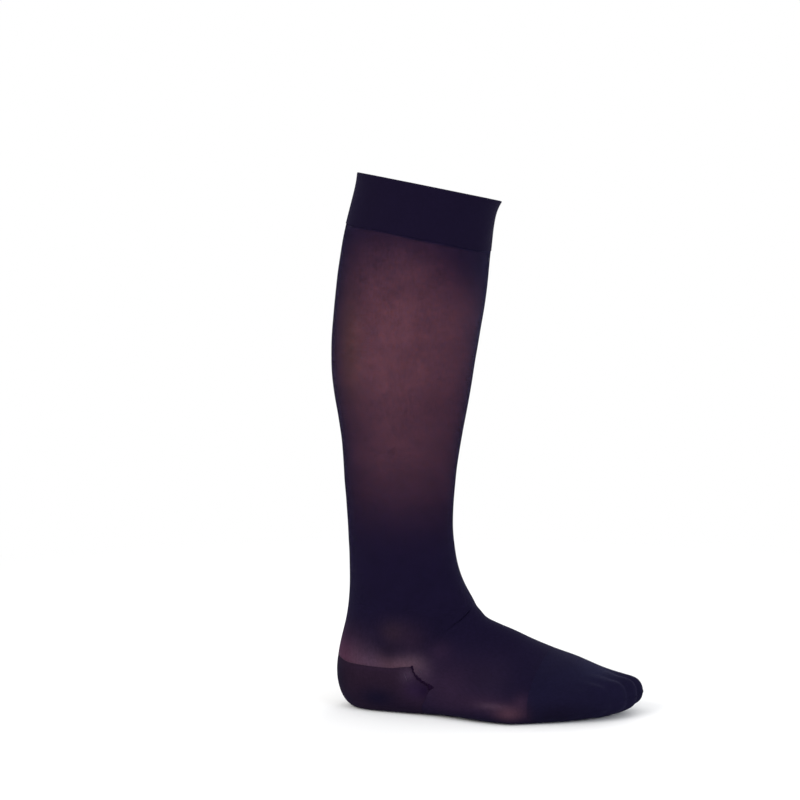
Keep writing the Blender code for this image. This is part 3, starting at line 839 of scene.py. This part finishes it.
def new_material(name):
    """A material, its empty node tree and its output node."""
    material = bpy.data.materials.new(name)
    material.use_nodes = True
    tree = material.node_tree
    tree.nodes.clear()
    return material, tree, add_node(tree, "ShaderNodeOutputMaterial")


def attribute(tree, name, output="Vector"):
    """A value that the mesh holds at its points or corners."""
    return add_node(tree, "ShaderNodeAttribute", {"attribute_name": name}).outputs[output]


def object_place(tree):
    """The place on the object, in metres."""
    return add_node(tree, "ShaderNodeTexCoord").outputs["Object"]


def math_node(tree, operation, *values):
    """The result of a Math node."""
    inputs = {f"i{number}": value for number, value in enumerate(values)}
    return add_node(tree, "ShaderNodeMath", {"operation": operation}, **inputs).outputs[0]


def scaled(tree, vector, factors):
    """A vector or colour times factors, three fixed ones or one that a socket gives."""
    if isinstance(factors, tuple):
        node = add_node(tree, "ShaderNodeVectorMath", {"operation": "MULTIPLY"}, i0=vector, i1=factors)
    else:
        node = add_node(tree, "ShaderNodeVectorMath", {"operation": "SCALE"}, i0=vector, Scale=factors)
    return node.outputs[0]


FINE_NOISE = 3.0  # detail of a noise
COARSE_NOISE = 2.0
NOISE_ROUGHNESS = 0.6


def noise(tree, vector, detail, scale=1.0):
    """A noise's value about 0, from -0.5 to 0.5."""
    inputs = {"Vector": vector, "Scale": scale, "Detail": detail, "Roughness": NOISE_ROUGHNESS}
    node = add_node(tree, "ShaderNodeTexNoise", **inputs)
    return math_node(tree, "SUBTRACT", node.outputs[0], 0.5)


LOOP_SLANT = 0.7  # how far a loop's legs slant, in courses
LOOP_ROUNDNESS = 0.6  # rounder towards 0


def stitch_height(tree, knit):
    """Height of the knit's V-shaped loops, from 0 to 1."""
    parts = add_node(tree, "ShaderNodeSeparateXYZ", Vector=knit)
    wale = math_node(tree, "FRACT", parts.outputs[0])
    beside = math_node(tree, "ABSOLUTE", math_node(tree, "SUBTRACT", wale, 0.5))
    from_middle = math_node(tree, "MULTIPLY", beside, 2.0)
    slant = math_node(tree, "MULTIPLY", from_middle, LOOP_SLANT)
    course = math_node(tree, "FRACT", math_node(tree, "ADD", parts.outputs[1], slant))
    along = math_node(tree, "SINE", math_node(tree, "MULTIPLY", course, math.pi))
    across = math_node(tree, "SINE", math_node(tree, "MULTIPLY", from_middle, math.pi))
    return math_node(tree, "MULTIPLY", along, math_node(tree, "POWER", across, LOOP_ROUNDNESS))


LOOP_HEIGHT = 0.00012
# Painted shade and light of the loops: the yarn's tone is darker between the loops and lighter on their tops.
LOOP_SHADING = 0.5  # how much the yarn's tone changes from between the loops to their tops
# Streaks along the wales and fainter ones along the courses: how much of the noise a wale and a course take.
STREAK_SCALE = (0.48, 0.12, 1.0)
CROSS_SCALE = (0.11, 0.5, 1.0)
CROSS_SHARE = 0.5  # strength of the fainter ones
STREAK_BUMP = 0.5  # height of the streaks, in loops
MOTTLE_SCALE = 55.0
OPEN_GAIN = 2.6  # how much more the yarn's tone varies where the cloth is open
KNIT_ROUGHNESS = 0.85
KNIT_SPECULAR = 0.02
SHEEN_ROUGHNESS = 0.45
SHEEN_TINT = (0.34, 0.32, 0.90, 1)
CLEAR_TINT = (1.0, 0.768, 0.750, 1)

# A knit's finish: how much its yarn's tone varies in streaks and in mottles, how strongly its stitches stand
# out, its sheen, and whether light passes through it.
Knit = namedtuple("Knit", "name streak mottle bump sheen sheer")
KNITS = [
    Knit("sheer_knit", 0.6, 0.35, 0.35, 0.03, True),
    Knit("dense_knit", 0.6, 0.3, 0.35, 0.025, False),
    Knit("band_knit", 0.25, 0.2, 0.3, 0.022, False),
]
# What the yarn swallows inside the sheer cloth, so that a long way through it at the sides looks darker.
YARN_DENSITY = 1500
YARN_PASSING = (0.40, 0.333, 0.333, 1)

Yarn = namedtuple("Yarn", "name colour roughness specular")
YARNS = [
    Yarn("gore_thread", (0.0080, 0.0032, 0.0125), 0.9, 0.0),
    Yarn("pale_thread", (0.040, 0.026, 0.046), 0.8, 0.02),
    Yarn("edge_thread", (0.046, 0.026, 0.043), 0.8, 0.02),
    Yarn("toe_thread", (0.0080, 0.0066, 0.0220), 0.8, 0.02),
]
TWIST_SCALE = 2500.0
TWIST_HEIGHT = 0.0001
TWIST_BUMP = 0.5
TWIST_TONE = 0.6  # how much the yarn's tone varies along its twist


def knit_material(knit):
    """A knitted cloth whose tone and openness come from its points, with streaks along its wales."""
    material, tree, output = new_material(knit.name)
    place = attribute(tree, "knit")
    openness = attribute(tree, "sheer", "Fac")
    streak = noise(tree, scaled(tree, place, STREAK_SCALE), FINE_NOISE)
    cross = noise(tree, scaled(tree, place, CROSS_SCALE), COARSE_NOISE)
    mottle = noise(tree, object_place(tree), FINE_NOISE, MOTTLE_SCALE)
    change = math_node(tree, "MULTIPLY", mottle, knit.mottle)
    change = math_node(tree, "MULTIPLY_ADD", streak, knit.streak, change)
    change = math_node(tree, "MULTIPLY_ADD", cross, knit.streak * CROSS_SHARE, change)
    gain = math_node(tree, "MULTIPLY_ADD", openness, OPEN_GAIN, 1.0)
    yarn = math_node(tree, "MULTIPLY_ADD", change, gain, 1.0)
    height = stitch_height(tree, place)
    # Painted shade between the loops and painted light on their tops.
    loop_shading = math_node(tree, "MULTIPLY_ADD", height, LOOP_SHADING, 1 - LOOP_SHADING / 2)
    factor = math_node(tree, "MULTIPLY", yarn, loop_shading)
    wavy = math_node(tree, "MULTIPLY_ADD", streak, STREAK_BUMP, height)
    bump = add_node(tree, "ShaderNodeBump", Strength=knit.bump, Distance=LOOP_HEIGHT, Height=wavy)
    shader = add_node(
        tree,
        "ShaderNodeBsdfPrincipled",
        Base_Color=scaled(tree, attribute(tree, "tone"), factor),
        Roughness=KNIT_ROUGHNESS,
        Specular_IOR_Level=KNIT_SPECULAR,
        Sheen_Weight=knit.sheen,
        Sheen_Roughness=SHEEN_ROUGHNESS,
        Sheen_Tint=SHEEN_TINT,
        Normal=bump.outputs[0],
    )
    surface = shader.outputs[0]
    if knit.sheer:
        passing = math_node(tree, "MULTIPLY", openness, math_node(tree, "ADD", change, 1.0))
        clear = add_node(tree, "ShaderNodeBsdfTransparent", Color=CLEAR_TINT)
        mix = add_node(tree, "ShaderNodeMixShader", i0=passing, i1=surface, i2=clear.outputs[0])
        surface = mix.outputs[0]
        absorb = add_node(tree, "ShaderNodeVolumeAbsorption", Density=YARN_DENSITY, Color=YARN_PASSING)
        tree.links.new(absorb.outputs[0], output.inputs["Volume"])
    tree.links.new(surface, output.inputs["Surface"])
    return material


def yarn_material(yarn):
    """A plain thread with a fine twist."""
    material, tree, output = new_material(yarn.name)
    twist = noise(tree, object_place(tree), COARSE_NOISE, TWIST_SCALE)
    factor = math_node(tree, "MULTIPLY_ADD", twist, TWIST_TONE, 1.0)
    bump = add_node(tree, "ShaderNodeBump", Strength=TWIST_BUMP, Distance=TWIST_HEIGHT, Height=twist)
    shader = add_node(
        tree,
        "ShaderNodeBsdfPrincipled",
        Base_Color=scaled(tree, yarn.colour, factor),
        Roughness=yarn.roughness,
        Specular_IOR_Level=yarn.specular,
        Normal=bump.outputs[0],
    )
    tree.links.new(shader.outputs[0], output.inputs["Surface"])
    return material


# Pieces.


def declare(piece, nodes=()):
    """Sets the piece on the frame's one body and hides the solids that it stands for."""
    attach(piece, "root")
    if nodes:
        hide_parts(*nodes)


def rows_between(first, last, shares):
    """A station for each row and column between two edges."""
    return first * (1 - shares[:, None]) + last * shares[:, None]


def make_band(material):
    """The doubled band at the cuff, with its folded edge round the mouth."""
    turns = ring_turns()
    shares = (1 - np.cos(np.linspace(0, math.pi, BAND_ROWS + 1))) / 2
    start = np.full(len(turns), STATION["mouth"] + MOUTH_INSET)
    end = band_end(turns) - HEM_INSET
    cloth = make_cloth(rows_between(start, end, shares), turns, proud=BAND_PROUD)
    rims = {FIRST: round_rim(BAND_THICK), LAST: BAND_HEM}
    piece = wall("band", cloth, BAND_THICK, dense_looks(cloth, BAND_TONE), material, rims, BAND_TONGUE)
    declare(piece, ["top_band"])


def knit_tube(name, first, last, shares, pocket_edge, looks_of_cloth, material):
    """A single-knit tube between two edges, which sinks where one of them lies beside the pocket."""
    turns = ring_turns()
    cloth = make_cloth(rows_between(first(turns), last(turns), shares), turns)
    from_pocket = {FIRST: cloth.from_first, LAST: cloth.from_last}[pocket_edge]
    cloth = dip_at(cloth, np.where(np.abs(cloth.turn) < GORE_TOP_TURN, from_pocket, FAR))
    cloth = pull_back(cloth, [FIRST, LAST], JOIN_GAP / 2)
    return wall(name, cloth, KNIT_THICK, looks_of_cloth(cloth), material, {FIRST: [], LAST: []})


def make_leg(material):
    """The leg, from the band to the heel pocket and the instep."""
    shares = 1 - graded(LEG_ROWS, LEG_FINEST)[::-1]
    piece = knit_tube("leg_knit", band_end, leg_end, shares, LAST, leg_looks, material)
    declare(piece, ["leg"])


def make_foot(material):
    """The foot, from the heel pocket and the instep to the toe cap."""
    shares = graded(FOOT_ROWS, FOOT_FINEST)
    piece = knit_tube("foot_knit", foot_start, toe_cap_edge, shares, FIRST, foot_looks, material)
    declare(piece, ["foot"])


def make_toe(material):
    """The closed cap over the toes. Returns its cloth."""
    turns = both_sides(np.linspace(0, 1, TOE_HALF_COLUMNS + 1))
    end = np.full(len(turns), float(STATION["toe_seam"]))
    stations = rows_between(toe_cap_edge(turns), end, np.linspace(0, 1, TOE_ROWS + 1))
    cloth = pull_back(close_toe(make_cloth(stations, turns)), [FIRST], JOIN_GAP / 2)
    looks = dense_looks(cloth, TOE_TONE, TOE_PATCHES)
    piece = wall("toe_knit", cloth, DENSE_THICK, looks, material, {FIRST: []})
    declare(piece, ["toe_cap"])
    return cloth


def close_toe(cloth):
    """The toe cap's cloth with one line of points and one normal for both sides of its closed end."""
    points = cloth.points.copy()
    normals = cloth.normals.copy()
    half = TOE_HALF_COLUMNS
    column = np.arange(2 * half)
    mirror = np.where(column <= half, half - column, 3 * half - column)
    points[-1] = (points[-1] + points[-1][mirror]) / 2
    normals[-1] = unit(normals[-2] + normals[-2][mirror])
    return cloth._replace(points=points, normals=normals)


def make_pocket(material):
    """The pocket round the heel, from gore to gore."""
    column = np.linspace(-1, 1, 2 * LOW_COLUMNS + 1)
    share = np.linspace(0, 1, POCKET_ROWS + 1)[:, None]
    top = pocket_top(column * GORE_TOP_TURN)
    front = pocket_front(column * GORE_FRONT_TURN)
    station = top + (front - top) * share - gore_hollow(share) * column**2
    turn = column * (GORE_TOP_TURN + (GORE_FRONT_TURN - GORE_TOP_TURN) * share)
    cloth = all_edges_back(make_cloth(station, turn, closed=False), SEAM_GAP)
    cloth = dip_at(cloth, edge_distance(cloth))
    looks = dense_looks(cloth, HEEL_TONE, HEEL_PATCHES)
    piece = wall("heel_knit", cloth, DENSE_THICK, looks, material)
    declare(piece, ["heel_pocket"])


def all_edges_back(cloth, distance):
    """An open cloth with its four edges moved back into it: first and last row, then both sides."""
    for _ in range(2):
        cloth = pull_back(cloth, [FIRST, LAST], distance)
        cloth = cloth._replace(points=cloth.points.transpose(1, 0, 2))
    return cloth


def edge_distance(cloth):
    """Distance of an open cloth's points from its nearest edge."""
    sideways = along_columns(cloth.points.transpose(1, 0, 2)).T
    return np.minimum.reduce([cloth.from_first, cloth.from_last, sideways, sideways[:, -1:] - sideways])


# Stitches: small solids placed along a seam, joined into one mesh.


def stitch_piece(name, parts, material):
    """Sets up one piece of several closed meshes, given as points and faces."""
    points, faces, count = [], [], 0
    for part_points, part_faces in parts:
        points.append(part_points)
        faces.extend([[number + count for number in face] for face in part_faces])
        count += len(part_points)
    mesh = bpy.data.meshes.new(name)
    mesh.from_pydata(np.concatenate(points).tolist(), [], faces)
    declare(link(mesh, material))


THREAD_SIDES = 8


def thread(line, radii, outward, flatness):
    """Points and faces of a thread along a line, with a radius at each of its points and closed ends.

    A flatness under 1 presses it onto the cloth.
    """
    tangent = unit(np.gradient(line, axis=0))
    side = unit(np.cross(tangent, outward))
    rise = np.cross(side, tangent) * flatness
    angle = np.linspace(0, 2 * math.pi, THREAD_SIDES, endpoint=False)
    ring = np.cos(angle)[:, None, None] * side + np.sin(angle)[:, None, None] * rise
    points = (line + ring * radii[None, :, None]).transpose(1, 0, 2).reshape(-1, 3)
    faces = [list(range(THREAD_SIDES))]
    for i in range(len(line) - 1):
        for j in range(THREAD_SIDES):
            k = (j + 1) % THREAD_SIDES
            low, high = i * THREAD_SIDES, (i + 1) * THREAD_SIDES
            faces.append([low + j, high + j, high + k, low + k])
    last = (len(line) - 1) * THREAD_SIDES
    faces.append([last + j for j in range(THREAD_SIDES - 1, -1, -1)])
    return points, faces


STITCH_SHAPE = np.array([0.35, 0.8, 1.0, 0.85, 0.4])  # its radius along it, as shares of the widest
STITCH_ARCH = 0.3  # how far its middle lies out of the cloth, as a share of the widest radius
STITCH_FLATNESS = 0.45


def stitch(place, heading, outward, length, radius):
    """A short flat stitch that swells in its middle."""
    steps = np.linspace(-0.5, 0.5, len(STITCH_SHAPE))
    arch = radius * STITCH_ARCH * (1 - 4 * steps**2)
    line = place + heading * (steps * length)[:, None] + outward * arch[:, None]
    return thread(line, radius * STITCH_SHAPE, outward, STITCH_FLATNESS)


# Places of the stitches along a seam, with unit vectors along it and out of the cloth.
Seam = namedtuple("Seam", "places direction outward")


def stitches(seam, along, aside, shift, length, radius):
    """A stitch at each place of a seam, shifted aside and heading along it and aside in the shares given.

    What follows the seam is one number for all the stitches or one for each.
    """
    across = np.cross(seam.outward, seam.direction)
    numbers = (along, aside, shift, length, radius)
    along, aside, shift, length, radius, _ = np.broadcast_arrays(*numbers, seam.places[:, 0])
    heading = unit(seam.direction * along[:, None] + across * aside[:, None])
    places = seam.places + across * shift[:, None]
    return [stitch(*values) for values in zip(places, heading, seam.outward, length, radius)]


SURFACE_STEP = 0.004


def surface_seam(station, turn):
    """A seam on the cloth's outer face, along a line of stations and turns."""
    line = smooth_tube(station, turn)
    outward = outward_at(station, turn)
    line = line - outward * fold_depths(line)[:, None]
    return Seam(line - ORIGIN, unit(np.gradient(line, axis=0)), outward)


def outward_at(station, turn):
    """Unit vectors out of the smooth tube."""
    down = smooth_tube(station + SURFACE_STEP, turn) - smooth_tube(station - SURFACE_STEP, turn)
    across = smooth_tube(station, turn + SURFACE_STEP) - smooth_tube(station, turn - SURFACE_STEP)
    return unit(np.cross(down, across))


def gore_seam(side, shares):
    """One gore at shares of its length, from its top."""
    top = pocket_top(np.array([side * GORE_TOP_TURN]))[0]
    front = pocket_front(np.array([side * GORE_FRONT_TURN]))[0]
    station = top + (front - top) * shares - gore_hollow(shares)
    turn = side * (GORE_TOP_TURN + (GORE_FRONT_TURN - GORE_TOP_TURN) * shares)
    return surface_seam(station, turn)


GORE_STITCH = 0.0024  # length
GORE_RADII = [
    0.00105, 0.0008, 0.00055, 0.00055, 0.0007, 0.0009, 0.00105, 0.0011, 0.00105, 0.001, 0.001, 0.001, 0.0009
]
GORE_LEAN = 0.2  # how far the stitches turn aside
GORE_STEP = 0.00018  # how far the stitches lie to one side and the other
# The triangular end of a gore: strands side by side, each so far ahead of the gore's end.
Strand = namedtuple("Strand", "ahead length radius")
GORE_END = [
    Strand(-0.0011, 0.0050, 0.00095),
    Strand(0.0002, 0.0036, 0.0009),
    Strand(0.0016, 0.0018, 0.0008),
]
GORE_END_DROP = 0.0006


def to_and_fro(count):
    """-1 and 1 in turn."""
    return np.where(np.arange(count) % 2, 1, -1)


def make_gore(name, side, material):
    """The dark stepped line of stitches along one gore, with a triangular end."""
    seam = gore_seam(side, np.linspace(0, 1, len(GORE_RADII)))
    swing = to_and_fro(len(GORE_RADII))
    parts = stitches(seam, 1, GORE_LEAN * swing, GORE_STEP * swing, GORE_STITCH, GORE_RADII)
    end, outward = seam.places[-1], seam.outward[-1]
    down = unit(np.array([0, 0, -1.0]) + outward * outward[2])
    ahead = np.cross(down, outward)
    ahead *= math.copysign(1, ahead[0])
    for strand in GORE_END:
        place = end + ahead * strand.ahead + down * GORE_END_DROP
        parts.append(stitch(place, down, outward, strand.length, strand.radius))
    stitch_piece(name, parts, material)


# Pale loops beside a gore: where along it, how far their middle lies from it, their length, how far they turn
# from straight away from it to along it, and their radius.
Loop = namedtuple("Loop", "share away length lean radius")
FOOT_LOOPS = [
    Loop(0.12, 0.0026, 0.0026, -0.3, 0.0002),
    Loop(0.38, 0.0022, 0.0030, 1.5, 0.0004),
    Loop(0.56, 0.0026, 0.0022, 0.4, 0.0002),
    Loop(0.74, 0.0024, 0.0020, 0.2, 0.0002),
]
POCKET_LOOPS = [
    Loop(0.24, 0.0074, 0.0070, 12.0, 0.0004),
    Loop(0.27, 0.0054, 0.0048, -3.0, 0.0004),
    Loop(0.12, 0.0030, 0.0026, 0.5, 0.0003),
    Loop(0.36, 0.0046, 0.0022, 0.2, 0.0002),
]


def make_loops(name, side, loops, toward, material):
    """Pale loops beside a gore, toward the foot or toward the pocket."""
    share, away, length, lean, radius = np.array(loops).T
    aside = side * toward
    parts = stitches(gore_seam(side, share), lean, aside, away * aside, length, radius)
    stitch_piece(name, parts, material)


EDGE_LOOPS = 92
EDGE_LOOP_LENGTH = 0.0011
EDGE_LOOP_RADIUS = 0.00022
EDGE_LOOP_LEAN = 0.5


def make_edge_loops(material):
    """The pocket's linking loops along its top edge, leaning to and fro."""
    turn = np.linspace(-GORE_TOP_TURN, GORE_TOP_TURN, EDGE_LOOPS + 2)[1:-1]
    lean = EDGE_LOOP_LEAN * to_and_fro(EDGE_LOOPS)
    seam = surface_seam(pocket_top(turn), turn)
    parts = stitches(seam, 1, lean, 0, EDGE_LOOP_LENGTH, EDGE_LOOP_RADIUS)
    stitch_piece("pocket_edge_loops", parts, material)


TOE_STITCH_LENGTH = 0.0014
TOE_STITCH_RADIUS = 0.00030
TOE_STITCH_LEAN = 0.35  # how far the stitches turn along the seam
TOE_SEAM_END = 3  # columns of the cloth left free at each end of the seam


def make_toe_seam(cloth, material):
    """The linking seam that closes the toe cap's cloth, across its front."""
    quarter = TOE_HALF_COLUMNS // 2
    columns = np.arange(quarter - TOE_SEAM_END, TOE_SEAM_END - quarter - 1, -1)
    places = cloth.points[-1][columns]
    seam = Seam(places, unit(np.gradient(places, axis=0)), cloth.normals[-1][columns])
    parts = stitches(seam, TOE_STITCH_LEAN, 1, 0, TOE_STITCH_LENGTH, TOE_STITCH_RADIUS)
    stitch_piece("toe_seam", parts, material)


# The stage, lights and camera.
GROUND = -0.4185
FLOOR_CENTRE_X = 0.02
FLOOR_RADIUS = 6.0
FLOOR_SIDES = 96
FLOOR_PALE = (0.86, 0.86, 0.86, 1)
WHITE = (1, 1, 1, 1)
FLOOR_FADE_START = 0.30
FLOOR_FADE_END = 0.85
CAMERA_AZIMUTH = math.radians(13)
CAMERA_DISTANCE = 2.3
CAMERA_HEIGHT = 0.097
CAMERA_TARGET = (-0.0243, 0, -0.170)
CAMERA_LENS = 130.9


def floor_material():
    """Pale floor that turns into the same white as the world away from the object."""
    material, tree, output = new_material("floor_white")
    away = add_node(tree, "ShaderNodeVectorMath", {"operation": "LENGTH"}, i0=object_place(tree))
    fade = add_node(
        tree,
        "ShaderNodeMapRange",
        {"interpolation_type": "SMOOTHSTEP"},
        Value=away.outputs["Value"],
        From_Min=FLOOR_FADE_START,
        From_Max=FLOOR_FADE_END,
    )
    matt = add_node(tree, "ShaderNodeBsdfDiffuse", Color=FLOOR_PALE)
    glow = add_node(tree, "ShaderNodeEmission", Color=WHITE, Strength=1.0)
    mix = add_node(tree, "ShaderNodeMixShader", i0=fade.outputs[0], i1=matt.outputs[0], i2=glow.outputs[0])
    tree.links.new(mix.outputs[0], output.inputs["Surface"])
    return material


def make_floor():
    """A wide round floor under the object."""
    shape = bmesh.new()
    bmesh.ops.create_circle(shape, cap_ends=True, segments=FLOOR_SIDES, radius=FLOOR_RADIUS)
    mesh = bpy.data.meshes.new("floor")
    shape.to_mesh(mesh)
    shape.free()
    floor = link(mesh, floor_material())
    floor.location = (FLOOR_CENTRE_X, 0, GROUND)


Lamp = namedtuple("Lamp", "name place size power colour")
LAMPS = [
    Lamp("key", (-1.3, -1.9, 1.1), 1.4, 34, (1.0, 0.98, 0.96)),
    Lamp("fill", (1.9, -1.2, 0.3), 1.4, 23, (0.82, 0.89, 1.0)),
    Lamp("back", (0.4, 2.2, 0.8), 1.6, 16, (1.0, 1.0, 1.0)),
]
LAMP_TARGET = (0, 0, -0.2)


def add_facing(name, data, place, target):
    """A lamp or camera at a place, turned to its target."""
    holder = bpy.data.objects.new(name, data)
    holder.location = place
    holder.rotation_euler = (Vector(target) - Vector(place)).to_track_quat("-Z", "Y").to_euler()
    bpy.context.scene.collection.objects.link(holder)
    return holder


def make_lights():
    """White surroundings and soft lamps."""
    world = bpy.data.worlds.new("white_room")
    world.use_nodes = True
    background = world.node_tree.nodes["Background"]
    background.inputs["Color"].default_value = WHITE
    background.inputs["Strength"].default_value = 1.0
    bpy.context.scene.world = world
    for lamp in LAMPS:
        light = bpy.data.lights.new(lamp.name, "AREA")
        light.size = lamp.size
        light.energy = lamp.power
        light.color = lamp.colour
        add_facing(lamp.name, light, lamp.place, LAMP_TARGET).visible_camera = False


def make_camera():
    """The camera, a little above the cuff and round to the front of the outer side."""
    camera = bpy.data.cameras.new("camera")
    camera.lens = CAMERA_LENS
    x = CAMERA_DISTANCE * math.sin(CAMERA_AZIMUTH)
    y = -CAMERA_DISTANCE * math.cos(CAMERA_AZIMUTH)
    bpy.context.scene.camera = add_facing("camera", camera, (x, y, CAMERA_HEIGHT), CAMERA_TARGET)


def main():
    bpy.context.scene.view_settings.view_transform = "Standard"
    make_camera()
    make_lights()
    make_floor()
    knits = {knit.name: knit_material(knit) for knit in KNITS}
    yarns = {yarn.name: yarn_material(yarn) for yarn in YARNS}
    make_band(knits["band_knit"])
    make_leg(knits["sheer_knit"])
    make_foot(knits["dense_knit"])
    toe_cloth = make_toe(knits["dense_knit"])
    make_pocket(knits["dense_knit"])
    make_edge_loops(yarns["edge_thread"])
    make_toe_seam(toe_cloth, yarns["toe_thread"])
    pale = yarns["pale_thread"]
    for side_name, side in (("outer", 1), ("inner", -1)):
        make_gore(f"gore_stitches_{side_name}", side, yarns["gore_thread"])
        make_loops(f"foot_loops_{side_name}", side, FOOT_LOOPS, 1, pale)
        make_loops(f"pocket_loops_{side_name}", side, POCKET_LOOPS, -1, pale)


main()
